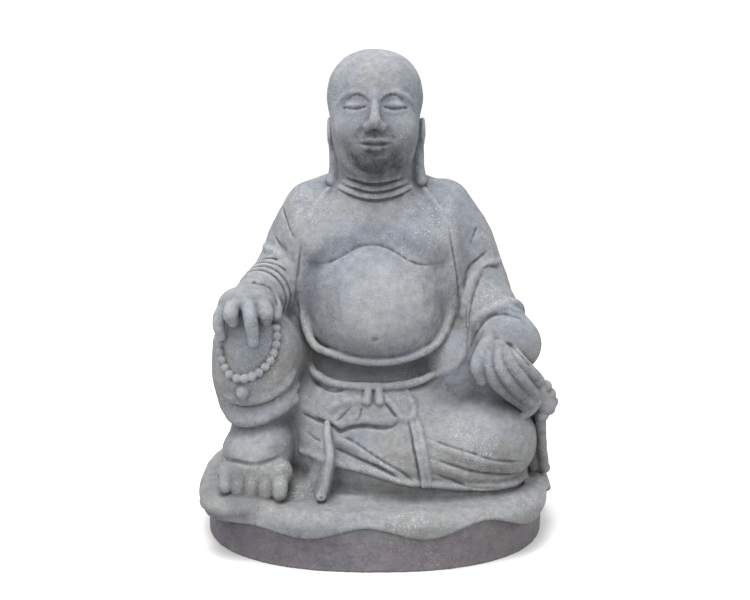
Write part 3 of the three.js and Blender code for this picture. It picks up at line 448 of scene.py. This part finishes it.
# Neck, sloping into the shoulders.
block.add(bone([0, 6, 548], [0, -4, 625], 66, 60), 16)
for s in SIDES:
    block.add(limb([[s * 58, 10, 590], [s * 84, 6, 582], [s * 118, 2, 564]], [12, 13, 14], 8), 10)


# Head: tilted back a little, so its forms are placed in its own frame.
def on_head(p):
    x, y, z = p
    c, s = math.cos(HEAD_TILT), math.sin(HEAD_TILT)
    return [HEAD_CENTRE[0] + x, HEAD_CENTRE[1] + y * c + z * s, HEAD_CENTRE[2] - y * s + z * c]


def head_egg(centre, radii, turn=(0, 0, 0)):
    return egg(on_head(centre), radii, (turn[0] - math.degrees(HEAD_TILT), turn[1], turn[2]))


def head_limb(points, radii, runs=0):
    return limb([on_head(p) for p in points], radii, runs)


def face(path, radius, height, blend=3):
    """A raised roll or a carved line on the face, along a path seen from straight before it."""
    laid = []
    for x, _, z in spaced_points([(p[0], 0, p[1]) for p in path], max(6, len(path) * 3)):
        x0, y0, z0 = block.met(on_head([x, -135, z]), on_head([x, 0, z]))
        sink = radius - height if height > 0 else -(radius + height)
        laid.append([x0, y0 + sink * math.cos(HEAD_TILT), z0 - sink * math.sin(HEAD_TILT)])
    block.work(limb(laid, [radius * 0.5] + [radius] * 6 + [radius * 0.5], len(laid) - 1), blend, height < 0)


block.add(head_egg([0, 6, 28], [72, 88, 74]), 12)
for s in SIDES:
    block.add(head_egg([s * 14, 6, 29], [64, 86, 71]), 10)
block.add(head_egg([0, -14, -34], [70, 67, 66]), 24)
block.add(head_egg([0, -24, -72], [58, 48, 37]), 16)
block.add(head_egg([0, -61, -92], [27, 18, 15]), 16)
block.add(head_egg([0, -62, -70], [30, 17, 20]), 16)
for s in SIDES:
    block.add(head_egg([s * 36, -50, -42], [27, 26, 25]), 18)
    # Ear, with its rim, a hollow and a long lobe that reaches the shoulder.
    block.add(egg([s * 68 + 2, 6, 662], [9, 19, 25]), 4)
    block.add(limb(
        [[s * 74 + 2, -6, 640], [s * 76 + 2, -12, 660], [s * 76 + 2, -4, 682], [s * 75 + 2, 12, 684],
         [s * 74 + 2, 21, 664], [s * 72 + 2, 12, 640]],
        [3, 4, 4, 4, 4, 3], 20), 2)
    block.add(limb([[s * 69 + 2, 2, 644], [s * 70 + 3, -3, 610], [s * 72 + 3, -7, 590]], [9, 8, 9], 6), 4)
    block.add(egg([s * 73 + 3, -10, 586], [9, 9, 8]), 3)
    block.add(limb([[s * 62 + 2, 10, 650], [s * 60 + 2, 8, 586]], [13, 15], 4), 6)
    block.cut(egg([s * 78 + 2, 4, 663], [4, 8, 12]), 2)
    block.cut(limb([[s * 79 + 2, -3, 645], [s * 80 + 2, -9, 606]], [2.5, 2], 4), 2)
# Nose.
block.add(head_limb([[0, -78, 6], [0, -86, -14], [0, -93, -36]], [6, 6.5, 8.5], 10), 10)
block.add(head_egg([0, -93, -42], [11, 10, 9]), 6)
for s in SIDES:
    block.add(head_egg([s * 11, -86, -46], [8, 9, 7.5]), 5)
    block.cut(head_egg([s * 6.5, -91, -54], [3.6, 5.5, 3.4]), 1.5)
    # Eye in its socket under the brow: the lid is lowered, and its edge drops gently outwards.
    block.cut(head_egg([s * 30, -92, -4], [21, 15, 12], [0, s * 8, 0]), 8)
    block.add(head_egg([s * 30, -64, -8], [18, 14.5, 10.5], [0, s * 6, 0]), 3)
    face([[s * 9, 1], [s * 18, 9], [s * 33, 13.5], [s * 49, 9], [s * 59, 0]], 4, 1.5, 5)
    face([[s * 12, -2], [s * 21, 5], [s * 33, 7.5], [s * 46, 1]], 2.4, -1.6, 2)
    face([[s * 12, -10], [s * 20, -13.5], [s * 31, -15], [s * 42, -13], [s * 52, -8]], 2.4, -2.2, 1.5)
    face([[s * 15, -17], [s * 31, -21], [s * 46, -15]], 3.2, 1.2, 3)
    face([[s * 19, -44], [s * 24, -52], [s * 31, -62]], 3, -1.2, 5)
face([[0, -57], [0, -63]], 3, -1.2, 3)
# Mouth, closed and at rest.
face([[-25, -70], [-13, -66.5], [-5, -65], [0, -66.5], [5, -65], [13, -66.5], [25, -70]], 4.2, 2.4, 2)
face([[-20, -76], [-10, -79], [0, -80], [10, -79], [20, -76]], 5, 2.8, 2)
face([[-28, -69.5], [-14, -72], [0, -73], [14, -72], [28, -69.5]], 2.6, -2.6, 1.5)
face([[-13, -89], [0, -90.5], [13, -89]], 4, -1.6, 5)

# Chest and belly.
block.add(egg([0, -24, 535], [100, 54, 42]), 20)
for s in SIDES:
    block.add(egg([s * 50, -48, 503], [64, 47, 38], [0, s * 9, 0]), 24)
block.add([
    egg([-20, -34, 392], [92, 108, 100]),
    egg([25, -34, 392], [92, 108, 100]),
    egg([3, -26, 440], [109, 94, 74]),
    egg([3, -48, 354], [106, 92, 58]),
], 14, 30)
block.cut(egg(block.surface([0, 0, 352], 1, -1), [5, 4, 3.5]), 4)
for s in SIDES:
    block.add(egg([s * 84, -60, 487], [34, 28, 26]), 18)

# Folds of the neck: height of the ends, half width and drop of each.
block.add(egg([0, -24, 574], [64, 45, 28]), 8)
for rise, half, drop in ((596, 44, 9), (586, 52, 12), (577, 60, 15)):
    arc = [[half * (i / 4 - 1), rise - drop * math.sin(math.pi * i / 8)] for i in range(9)]
    block.relief(beside(arc, -5), 6, 3, blend=3)
    block.relief(arc, 3.2, -4.2, blend=1.5)

# Stone beside the belly: between it and the right sleeve, and over the left hip.
block.add(limb([[-130, -76, 432], [-130, -73, 416], [-131, -64, 404]], [7, 8, 5], 6), 8)
block.add(egg([134, -56, 292], [54, 62, 66]), 24)
# The robe's front edges run down beside the belly into the border under it.
block.add(limb(
    [[-76, -22, 575], [-101, -50, 540], [-111, -64, 500], [-116, -70, 450], [-118, -68, 405],
     [-115, -78, 369], [-97, -106, 334], [-66, -121, 323], [-32, -130, 315], [0, -133, 312],
     [40, -130, 315], [74, -119, 324], [101, -103, 338], [120, -78, 369], [124, -68, 405],
     [123, -70, 450], [117, -64, 500], [106, -50, 540], [80, -22, 575]],
    [4, 6, 8, 8, 8, 7.5, 6.5, 6, 5.5, 5.5, 5.5, 6, 6.5, 7.5, 8, 8, 8, 6, 4], 60), 5)
# Waist band.
block.add(limb(
    [[-98, -94, 286], [-86, -104, 279], [-68, -114, 273], [-42, -121, 271], [0, -125, 270], [42, -121, 272],
     [66, -114, 275], [90, -101, 282], [110, -80, 292]],
    [4, 7, 7, 7, 7, 7, 7, 6, 3], 28), 3)
block.relief([[-84, 279], [-98, 286], [-113, 297]], 6, 2.5, blend=4)
block.relief([[88, 281], [106, 288], [124, 299], [138, 314], [147, 334]], 7, 3, blend=4)

# Right foot: instep, toes and the crease behind them.
block.add(egg([-215, -160, 92], [66, 56, 22]), 14)
block.add(egg([-118, -96, 102], [50, 60, 22]), 18)
block.add(egg([-190, -108, 150], [60, 73, 63]), 8)
block.add(egg([-176, -112, 176], [46, 62, 44]), 10)
block.add(limb([[-233, -156, 136], [-196, -163, 136], [-155, -160, 138]], [20, 22.5, 24], 8), 6)
for x, r, z in ((-237, 10.5, 122), (-217, 10.5, 117), (-196, 11, 113), (-174, 11, 111), (-151, 12.5, 112)):
    toe = [[x, -150, 144], [x, -170, 137], [x, -180, 124], [x, -183, z]]
    block.add(limb(toe, [r - 2, r, r + 1, r], 9), 4)
block.relief([[-246, 158], [-218, 160], [-186, 159], [-150, 167]], 4, -3.5, blend=2)

# Right hand, resting on the knee.
block.add(egg([-195, -131, 350], [44, 42, 58]), 10)
block.add(egg([-200, -130, 402], [48, 46, 34], [-28, 0, 0]), 8)
block.cut(egg([-222, -176, 372], [14, 9, 8]), 4)
block.cut(egg([-168, -174, 377], [11, 9, 7]), 4)
for finger, thick in (
    ([[-228, -130, 406], [-240, -150, 398], [-244, -160, 380], [-240, -161, 361]], 10.5),
    ([[-214, -138, 413], [-221, -167, 409], [-222, -180, 400], [-219, -176, 389]], 12.5),
    ([[-198, -138, 415], [-196, -171, 412], [-191, -187, 394], [-188, -184, 358]], 11.5),
    ([[-182, -134, 411], [-173, -164, 409], [-168, -178, 401], [-169, -172, 391]], 12.5),
    ([[-168, -112, 412], [-158, -130, 405], [-154, -146, 391]], 11),
):
    block.add(limb(finger, [thick, thick, thick - 0.5, thick - 3], 10), 4.5)

# String of beads hanging from the hand over the leg, with a pendant.
beads = [[-244, 346], [-243, 331], [-239, 317], [-230, 302], [-214, 296], [-199, 298], [-184, 304],
         [-172, 314], [-162, 327], [-156, 342], [-154, 358], [-155, 372]]
for x, y, z in block.drape(beads, steps=14):
    block.add(egg([x, y - 2.5, z], [7.4, 7.4, 7.4]), 0.8)
block.add(egg(block.surface([-208, 0, 273], 1, -1), [11, 9, 12]), 2)

# Stone left standing between the left wrist and the thigh.
block.add(limb([[184, -78, 262], [212, -80, 247], [244, -68, 230]], [15, 14, 14], 10), 8)
# Left hand: a broad back, a thumb and four long fingers closed on the neck of a bag.
block.add(egg([190, -50, 285], [56, 52, 60]), 16)
block.add(egg([224, -90, 332], [45, 41, 46], [0, 24, 0]), 8)
thumb = [[184, -118, 348], [168, -134, 326], [162, -140, 304], [170, -134, 284]]
block.add(limb(thumb, [12, 12, 11.5, 9], 10), 3)
block.add(limb([[200, -112, 322], [224, -108, 286], [252, -92, 252]], [25, 27, 22], 8), 4)
block.add(limb([[262, -92, 254], [280, -86, 230]], [18, 17], 3), 4)
for finger in (
    [[186, -128, 340], [179, -140, 316], [190, -136, 284], [213, -124, 258], [243, -106, 232]],
    [[196, -130, 342], [196, -144, 313], [214, -139, 282], [234, -125, 257], [254, -107, 238]],
    [[204, -126, 342], [212, -142, 317], [232, -135, 289], [250, -117, 262], [263, -101, 248]],
    [[212, -120, 342], [228, -136, 319], [246, -124, 298], [262, -108, 278], [268, -98, 268]],
):
    block.add(limb(finger, [8, 10, 10.5, 10, 9], 14), 3)
block.relief([[205, 347], [217, 340], [234, 324], [249, 305]], 3, -2.6, blend=2)
# The bag's neck and knot, and the strip that hangs from it, backed by a web of stone.
bag_neck = [[267, -98, 276], [269, -100, 258], [263, -101, 240], [250, -104, 224], [240, -108, 216]]
block.add(limb(bag_neck, [7, 9, 9, 9, 7], 14), 2)
for x, y, z, r in (
    (278, -90, 262, 10), (285, -84, 247, 11), (292, -78, 232, 9), (286, -80, 220, 10), (274, -86, 212, 11),
):
    block.add(egg([x, y, z], [r, r + 2, r]), 2.5)
strip = [[270, -80, 216], [274, -72, 190], [279, -56, 150], [286, -36, 106]]
block.add(limb(strip, [11, 9, 8.5, 8.5], 12), 3)
block.add(egg([287, -34, 103], [10, 11, 9]), 2)
block.add(limb([[258, -62, 214], [262, -52, 170], [268, -30, 108]], [10, 10, 12], 6), 4)

# Sash: the two ends of the knot, the bow on one side and a fold on the other.
for x in (-11, 6):
    top, foot = block.drape([[x, 265], [x * 1.15, 250]], steps=1)
    block.add(bone(top, foot, 6.5, 7.5), 1.5)
bow = [[14, 258], [26, 245], [36, 232], [46, 222], [58, 223], [62, 236], [57, 250], [50, 262]]
block.relief(bow, 6, 3.5, blend=3)
block.relief([[-14, 252], [-30, 250], [-52, 246], [-70, 236], [-82, 222]], 9, 3.5, blend=3)

# Soft rolls of the cloth.
for path, radius, height in (
    ([[-116, 233], [-80, 224], [-56, 213], [-38, 219], [-16, 222], [6, 220], [32, 222]], 9, 3),
    ([[-85, 192], [-46, 186], [-12, 170], [20, 154], [52, 136]], 11, 3.5),
    ([[-119, 168], [-82, 165], [-32, 152], [16, 141], [58, 129]], 8, 3),
    ([[86, 128], [135, 120], [190, 112], [240, 106]], 8, 3),
    ([[84, 190], [118, 180], [160, 164], [210, 148]], 10, 3),
    ([[86, 161], [118, 149], [165, 130], [214, 122]], 9, 3),
    ([[-233, 262], [-205, 258], [-172, 264], [-146, 278], [-130, 296]], 10, 3),
    ([[-238, 235], [-202, 235], [-168, 243], [-143, 255], [-127, 268]], 12, 4),
    ([[-183, 478], [-160, 474], [-142, 460], [-130, 444]], 7, 2.5),
    ([[206, 456], [180, 452], [160, 436], [148, 410], [143, 378]], 8, 3),
    ([[150, 340], [156, 364], [170, 383], [192, 393], [214, 392], [230, 386]], 7, 2),
):
    block.relief(path, radius, height, blend=5)
# The hem of the raised leg hangs round the shin.
block.add(limb(
    [[-239, -104, 233], [-225, -142, 224], [-202, -158, 223], [-174, -157, 230], [-150, -146, 240],
     [-130, -128, 250]],
    [9, 10, 10, 10, 10, 9], 20), 7)
# The hem of the folded leg lies on the base.
hem = [[-119, -136, 156], [-96, -156, 156], [-82, -166, 154], [-60, -165, 146], [-32, -172, 141],
       [-3, -179, 136], [22, -181, 128], [51, -180, 119], [87, -177, 115], [135, -171, 109],
       [184, -154, 102], [224, -128, 98], [248, -84, 97]]
block.add(limb([[x, y + 2, z + 9] for x, y, z in hem], [4, 7, 7, 7, 7, 5], 40), 4)
block.cut(limb([[x, y - 1, z] for x, y, z in hem], [1.5, 3.4, 3.4, 3.4, 3.4, 1.5], 40), 1.5)

# Cut lines that set the forms off: path, radius and depth.
for path, radius, depth in (
    # Chest and the robe's front edges.
    ([[-106, 462], [-84, 464], [-64, 473], [-44, 485], [-24, 494], [-4, 497], [16, 494], [34, 486],
      [50, 476], [66, 468], [84, 463], [110, 463]], 3.2, 2.4),
    ([[-118, 500], [-124, 450], [-126, 400], [-121, 362]], 2.8, 2.4),
    ([[119, 520], [126, 480], [133, 440], [136, 400], [132, 362]], 2.8, 2),
    # Right sleeve.
    ([[-153, 546], [-148, 533], [-138, 514], [-128, 498]], 2.6, 1.8),
    ([[-166, 500], [-156, 488], [-141, 478]], 2.6, 1.4),
    ([[-202, 440], [-189, 441], [-169, 435], [-157, 422], [-151, 406]], 3.4, 1.8),
    # Left sleeve.
    ([[168, 516], [161, 501], [155, 486]], 2.6, 1.6),
    ([[186, 476], [169, 465], [154, 453], [146, 432], [142, 412]], 2.8, 2.6),
    ([[204, 448], [187, 452], [173, 449]], 2.6, 2),
    ([[175, 443], [162, 420], [153, 394], [149, 363], [150, 335]], 2.8, 2.4),
    ([[147, 392], [146, 366], [148, 344], [150, 322]], 2.6, 1.8),
    ([[153, 322], [157, 342], [164, 358], [176, 376], [195, 386], [215, 385], [231, 379],
      [241, 370]], 3.2, 3.2),
    # Waist, apron and lap.
    ([[-104, 275], [-87, 266], [-67, 262], [-50, 264]], 2.8, 2.6),
    ([[-119, 226], [-100, 220], [-80, 216], [-64, 209], [-56, 204], [-38, 210], [-16, 213],
      [6, 211], [29, 213], [40, 222]], 3.8, 4),
    ([[-38, 242], [-51, 229], [-64, 219]], 2.6, 2),
    ([[-21, 244], [-24, 230], [-32, 217]], 2.6, 2),
    ([[14, 250], [24, 238], [36, 224]], 2.6, 2.4),
    ([[-60, 200], [-35, 192], [-9, 177], [16, 162], [41, 147], [62, 130]], 3, 3),
    ([[-114, 200], [-93, 190], [-57, 176], [-22, 163], [13, 150], [51, 130]], 3, 2.8),
    # Left thigh and knee.
    ([[80, 200], [110, 191], [150, 177], [199, 157], [245, 147]], 2.8, 2.4),
    ([[87, 171], [118, 159], [167, 140], [217, 126], [250, 118]], 2.8, 2.4),
    ([[87, 146], [119, 132], [160, 116], [202, 108]], 2.6, 2.2),
    # Right leg.
    ([[-238, 250], [-202, 247], [-168, 254], [-144, 267]], 2.8, 2.2),
):
    block.relief(path, radius, -depth, blend=1.5)

# Hanging ends of the sash: a round one before the lap, backed by stone, and a flat one over the thigh.
block.add(limb([[-76, -146, 172], [-82, -146, 140], [-92, -140, 106]], [17, 19, 24], 6), 10)
block.add(limb(
    [[-76, -154, 219], [-75, -167, 198], [-71, -176, 176], [-73, -182, 156], [-78, -184, 131],
     [-84, -184, 110]],
    [5, 6.5, 7, 7, 7, 8], 20), 2)
block.add(limb([[-72, -166, 160], [-78, -168, 131], [-84, -168, 106]], [10, 11, 12], 6), 4)
block.add(egg([-85, -186, 107], [9, 8, 8]), 2)
block.cut(egg([-85, -195, 107], [3, 4, 3]), 1)
flat_end = [[62, 222], [67, 202], [71, 183], [76, 161], [80, 137], [82, 118]]
for shift in (-4, 4):
    block.relief(beside(flat_end, shift), 7, 4, blend=1.5)
block.relief([[52, 222], [57, 202], [61, 180], [66, 158], [70, 134], [72, 118]], 2.6, -2.4, blend=1.5)

# Back and sides: the same robe, plainer.
block.relief([[-58, 592], [-30, 576], [0, 571], [30, 576], [58, 592]], 12, 5, "back")
block.relief([[-150, 312], [-80, 296], [0, 290], [80, 296], [150, 312]], 15, 6, "back")
block.relief([[-138, 129], [-80, 121], [0, 118], [80, 121], [150, 130]], 12, 6, "back")
for s in SIDES:
    block.relief([[s * 96, 540], [s * 82, 450], [s * 72, 330]], 9, 4, "back")
    block.relief([[s * 62, 555], [s * 44, 470], [s * 30, 400]], 8, 3, "back")
    block.relief([[s * 40, 275], [s * 84, 205], [s * 150, 160]], 9, 4, "back")
    block.relief([[s * 100, 270], [s * 128, 226], [s * 154, 198]], 9, 4, "back")
block.relief([[120, 240], [40, 262], [-40, 290]], 9, 4, "left")
block.relief([[130, 190], [50, 205], [-20, 230]], 9, 4, "left")
block.relief([[130, 200], [60, 180], [-20, 150]], 9, 4, "right")
block.relief([[110, 150], [40, 138], [-20, 122]], 9, 4, "right")


# Hand-worked unevenness, and the flat underside.
def uneven(shape, spacing, seed):
    """Smooth random values from -1 to 1 on the block's grid."""
    knots = np.random.default_rng(seed).uniform(-1, 1, [int(n * CELL / spacing) + 3 for n in shape])
    for axis, n in enumerate(shape):
        place = np.arange(n) * CELL / spacing
        base = place.astype(int)
        w = place - base
        w = (w * w * (3 - 2 * w)).reshape([-1 if i == axis else 1 for i in range(3)])
        knots = knots.take(base, axis=axis) * (1 - w) + knots.take(base + 1, axis=axis) * w
    return knots.astype(np.float32)


for height, spacing, seed in ((0.55, 17, 1), (0.3, 7, 2)):
    block.field += height * uneven(block.field.shape, spacing, seed)
block.field = np.maximum(block.field, -block.axes[2][None, None, :])

# Mesh: the skin in metres, thinned where it is plain.
points, quads = skin(block)
mesh = bpy.data.meshes.new("buddha_stone")
mesh.vertices.add(len(points))
mesh.vertices.foreach_set("co", (points * MM).astype(np.float32).ravel())
mesh.loops.add(quads.size)
mesh.loops.foreach_set("vertex_index", quads.astype(np.int32).ravel())
mesh.polygons.add(len(quads))
mesh.polygons.foreach_set("loop_start", np.arange(0, quads.size, 4, dtype=np.int32))
mesh.polygons.foreach_set("loop_total", np.full(len(quads), 4, dtype=np.int32))
mesh.update(calc_edges=True)
mesh.validate()
buddha = bpy.data.objects.new("buddha_stone", mesh)
bpy.context.scene.collection.objects.link(buddha)

thin = buddha.modifiers.new("thin", "DECIMATE")
thin.ratio = min(1, TRIANGLES / (2 * len(quads)))
thin.use_collapse_triangulate = True
fine = bpy.data.meshes.new_from_object(buddha.evaluated_get(bpy.context.evaluated_depsgraph_get()))
buddha.modifiers.clear()
buddha.data = fine
bpy.data.meshes.remove(mesh)
fine.name = "buddha_stone"
fine.polygons.foreach_set("use_smooth", np.ones(len(fine.polygons), bool))


# How hollow or how proud each place is, for painted shade and dirt in hollows and for wear: the distances
# there before and after a blur.
def blurred(field, radius):
    """The field averaged over a cube of cells."""
    for axis in range(3):
        pad = [(radius + 1, radius) if i == axis else (0, 0) for i in range(3)]
        run = np.cumsum(np.pad(field, pad, mode="edge"), axis=axis, dtype=np.float32)
        ahead = [slice(None)] * 3
        behind = [slice(None)] * 3
        ahead[axis] = slice(2 * radius + 1, None)
        behind[axis] = slice(0, -(2 * radius + 1))
        field = (run[tuple(ahead)] - run[tuple(behind)]) / (2 * radius + 1)
    return field


def sample(field, low, cell, at):
    """Values of the field at points between its cells."""
    place = np.clip((at - low) / cell, 0, np.array(field.shape) - 1.001)
    base = place.astype(int)
    w = place - base
    total = np.zeros(len(at))
    for i in (0, 1):
        for j in (0, 1):
            for k in (0, 1):
                share = np.abs(1 - i - w[:, 0]) * np.abs(1 - j - w[:, 1]) * np.abs(1 - k - w[:, 2])
                total += share * field[base[:, 0] + i, base[:, 1] + j, base[:, 2] + k]
    return total


# Distances further from the surface than this don't count.
DEEPEST = 16
at = np.zeros(len(fine.vertices) * 3, np.float32)
fine.vertices.foreach_get("co", at)
at = at.reshape(-1, 3) / MM
for name, step, radius in (("hollow_fine", 1, 1), ("hollow_middle", 2, 1), ("hollow_wide", 2, 4)):
    near = np.clip(block.field[::step, ::step, ::step], -DEEPEST, DEEPEST)
    soft = blurred(blurred(near, radius), radius)
    values = sample(soft, block.low, CELL * step, at) - sample(near, block.low, CELL * step, at)
    layer = fine.attributes.new(name, "FLOAT", "POINT")
    layer.data.foreach_set("value", values.astype(np.float32))

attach(buddha, "root")
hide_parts("seated_buddha")


class Nodes:
    """Short calls for the nodes of one material."""

    def __init__(self, material):
        material.use_nodes = True
        self.tree = material.node_tree
        self.tree.nodes.clear()

    def new(self, kind, inputs=None, **settings):
        node = self.tree.nodes.new(kind)
        for key, value in settings.items():
            setattr(node, key, value)
        for key, value in (inputs or {}).items():
            if isinstance(value, bpy.types.NodeSocket):
                self.tree.links.new(value, node.inputs[key])
            else:
                node.inputs[key].default_value = value
        return node

    def noise(self, vector, scale, detail=4, roughness=0.6, distortion=0):
        inputs = {"Vector": vector, "Scale": scale, "Detail": detail}
        inputs.update({"Roughness": roughness, "Distortion": distortion})
        return self.new("ShaderNodeTexNoise", inputs).outputs["Fac"]

    def spread(self, value, low, high, to_low=0, to_high=1):
        inputs = {0: value, 1: low, 2: high, 3: to_low, 4: to_high}
        return self.new("ShaderNodeMapRange", inputs).outputs[0]

    def sum(self, a, b, operation="ADD", clamp=False):
        return self.new("ShaderNodeMath", {0: a, 1: b}, operation=operation, use_clamp=clamp).outputs[0]

    def mix(self, share, a, b, blend="MIX"):
        node = self.new("ShaderNodeMix", data_type="RGBA", blend_type=blend)
        for key, value in ((0, share), (6, a), (7, b)):
            if isinstance(value, bpy.types.NodeSocket):
                self.tree.links.new(value, node.inputs[key])
            else:
                node.inputs[key].default_value = value
        return node.outputs[2]


def stone_material():
    material = bpy.data.materials.new("weathered_stone")
    n = Nodes(material)
    place = n.new("ShaderNodeTexCoord").outputs["Object"]
    height = n.new("ShaderNodeSeparateXYZ", {0: place}).outputs[2]
    up = n.new("ShaderNodeSeparateXYZ", {0: n.new("ShaderNodeNewGeometry").outputs["Normal"]}).outputs[2]
    fine_hollow, middle_hollow, wide_hollow = (
        n.new("ShaderNodeAttribute", attribute_name="hollow_" + name).outputs["Fac"]
        for name in ("fine", "middle", "wide")
    )
    clouds = n.noise(place, 6, 4, 0.6)
    patches = n.noise(place, 17, 6, 0.65, 0.5)
    mottle = n.noise(place, 75, 8, 0.72)
    grain = n.noise(place, 560, 3, 0.65)
    specks = n.noise(place, 390, 2, 0.5)
    pits = n.noise(place, 300, 2, 0.5, 0.3)
    drift = n.noise(place, 11, 5, 0.7)

    # Cool grey with bluer and warmer clouds, mottled and grained.
    warm = n.sum(n.spread(clouds, 0.38, 0.62), n.spread(height, 0.45, 0.15, -0.2, 0.4), clamp=True)
    colour = n.mix(warm, COOL_GREY, WARM_GREY)
    colour = n.mix(n.spread(patches, 0.5, 0.75, 0, 0.5), colour, OCHRE_GREY)
    shade = n.sum(n.spread(mottle, 0.3, 0.7, 0.74, 1.26), n.spread(grain, 0.3, 0.7, 0.84, 1.16), "MULTIPLY")
    grey = n.new("ShaderNodeCombineColor", {0: shade, 1: shade, 2: shade}).outputs[0]
    colour = n.mix(1, colour, grey, "MULTIPLY")
    # Chalky wear: on edges and upward faces, and as fine specks in clusters.
    edge = n.sum(n.spread(fine_hollow, 0.05, 0.55), n.spread(middle_hollow, 0.25, 1.6), "MAXIMUM")
    worn = n.sum(n.sum(edge, 0.62, "MULTIPLY"), n.spread(up, 0.2, 1, 0, 0.3), clamp=True)
    wear = n.sum(worn, n.spread(mottle, 0.35, 0.65, 0.15, 0.85), "MULTIPLY")
    colour = n.mix(wear, colour, WORN)
    cluster = n.sum(n.spread(drift, 0.47, 0.66), n.sum(worn, 0.5, "MULTIPLY"), clamp=True)
    chalk = n.sum(n.spread(specks, 0.56, 0.66), cluster, "MULTIPLY")
    colour = n.mix(n.sum(chalk, 0.68, "MULTIPLY"), colour, CHALK)
    # Painted shade and dirt in the hollows; and dark pits in clusters, mostly on faces turned down.
    hollow_shade_and_dirt = n.spread(wide_hollow, -0.8, -5.5, 0, 0.62)
    hollow_shade_and_dirt = n.sum(hollow_shade_and_dirt, n.spread(middle_hollow, -0.35, -2.4, 0, 0.8), "MAXIMUM")
    hollow_shade_and_dirt = n.sum(hollow_shade_and_dirt, n.spread(fine_hollow, -0.12, -0.85, 0, 0.85), "MAXIMUM")
    hollow_shade_and_dirt = n.sum(hollow_shade_and_dirt, n.spread(patches, 0.25, 0.65, 0.65, 1), "MULTIPLY", True)
    colour = n.mix(hollow_shade_and_dirt, colour, HOLLOW_SHADE_AND_DIRT)
    soot = n.sum(n.spread(drift, 0.56, 0.36), n.spread(up, 0.35, -0.5, 0.15, 1), "MULTIPLY")
    soot = n.sum(n.spread(pits, 0.53, 0.64), soot, "MULTIPLY", True)
    colour = n.mix(n.sum(soot, 0.85, "MULTIPLY"), colour, SOOT)
    # Each patch of painted shade and painted light is soft and round, with a ragged edge.
    for tone, strength, middle, radius in SHADE_AND_LIGHT_PATCHES:
        gap = n.new("ShaderNodeVectorMath", {0: place, 1: middle}, operation="DISTANCE").outputs["Value"]
        gap = n.sum(gap, n.spread(patches, 0.3, 0.7, -0.4 * radius, 0.4 * radius))
        share = n.sum(n.spread(gap, radius, 0.45 * radius), n.spread(mottle, 0.35, 0.65, 0.45, 1), "MULTIPLY")
        colour = n.mix(n.sum(share, strength, "MULTIPLY"), colour, tone)
    # The plinth is browner.
    low = n.spread(n.sum(height, n.spread(patches, 0.3, 0.7, -0.008, 0.008)), 0.080, 0.045)
    colour = n.mix(low, colour, PLINTH_TINT, "MULTIPLY")

    # Grain and pits that stand out of the surface or are sunk in it, in parts of 1.6 mm.
    relief = n.sum(n.spread(mottle, 0.25, 0.75, 0, 1.1), n.spread(grain, 0.2, 0.8, 0, 0.5))
    relief = n.sum(relief, n.spread(pits, 0.55, 0.68, 0, -0.6))
    relief = n.sum(relief, n.spread(specks, 0.58, 0.66, 0, 0.25))
    bump = n.new("ShaderNodeBump", {"Height": relief, "Distance": 0.0016, "Strength": 0.8})
    shader = n.new("ShaderNodeBsdfPrincipled", {
        "Base Color": colour, "Roughness": n.spread(mottle, 0.3, 0.7, 0.8, 0.96), "Normal": bump.outputs[0],
    })
    shader.inputs["Specular IOR Level"].default_value = 0.2
    n.new("ShaderNodeOutputMaterial", {"Surface": shader.outputs[0]})
    return material


fine.materials.clear()
fine.materials.append(stone_material())

# Floor, light and camera.
bpy.ops.mesh.primitive_plane_add(size=FLOOR_SIZE)
floor = bpy.context.object
floor.name = "floor"
paper = bpy.data.materials.new("pale_floor")
paper.use_nodes = True
paper_shader = paper.node_tree.nodes["Principled BSDF"]
paper_shader.inputs["Base Color"].default_value = (FLOOR_GREY, FLOOR_GREY, FLOOR_GREY, 1)
paper_shader.inputs["Roughness"].default_value = 1
floor.data.materials.append(paper)

world = bpy.data.worlds.new("studio")
bpy.context.scene.world = world
world.use_nodes = True
world.node_tree.nodes["Background"].inputs["Color"].default_value = (1, 1, 1, 1)
world.node_tree.nodes["Background"].inputs["Strength"].default_value = STUDIO_LIGHT


def soft_light(name, place, size, power, aim=(0, 0, 0.42)):
    """A round lamp that faces the middle of the figure."""
    data = bpy.data.lights.new(name, "AREA")
    data.shape = "DISK"
    data.size = size
    data.energy = power
    light = bpy.data.objects.new(name, data)
    light.location = place
    light.rotation_euler = (Vector(aim) - Vector(place)).to_track_quat("-Z", "Y").to_euler()
    bpy.context.scene.collection.objects.link(light)


soft_light("top", (-0.3, -0.9, 2.7), 1.6, 110)
soft_light("front", (-1.0, -2.6, 1.7), 1.2, 22)

data = bpy.data.cameras.new("camera")
data.sensor_width = SENSOR_WIDTH
data.lens = LENS
camera = bpy.data.objects.new("camera", data)
camera.location = CAMERA_PLACE
camera.rotation_euler = (math.radians(90 - CAMERA_DOWN), 0, 0)
bpy.context.scene.collection.objects.link(camera)
bpy.context.scene.camera = camera
bpy.context.scene.view_settings.view_transform = "Standard"
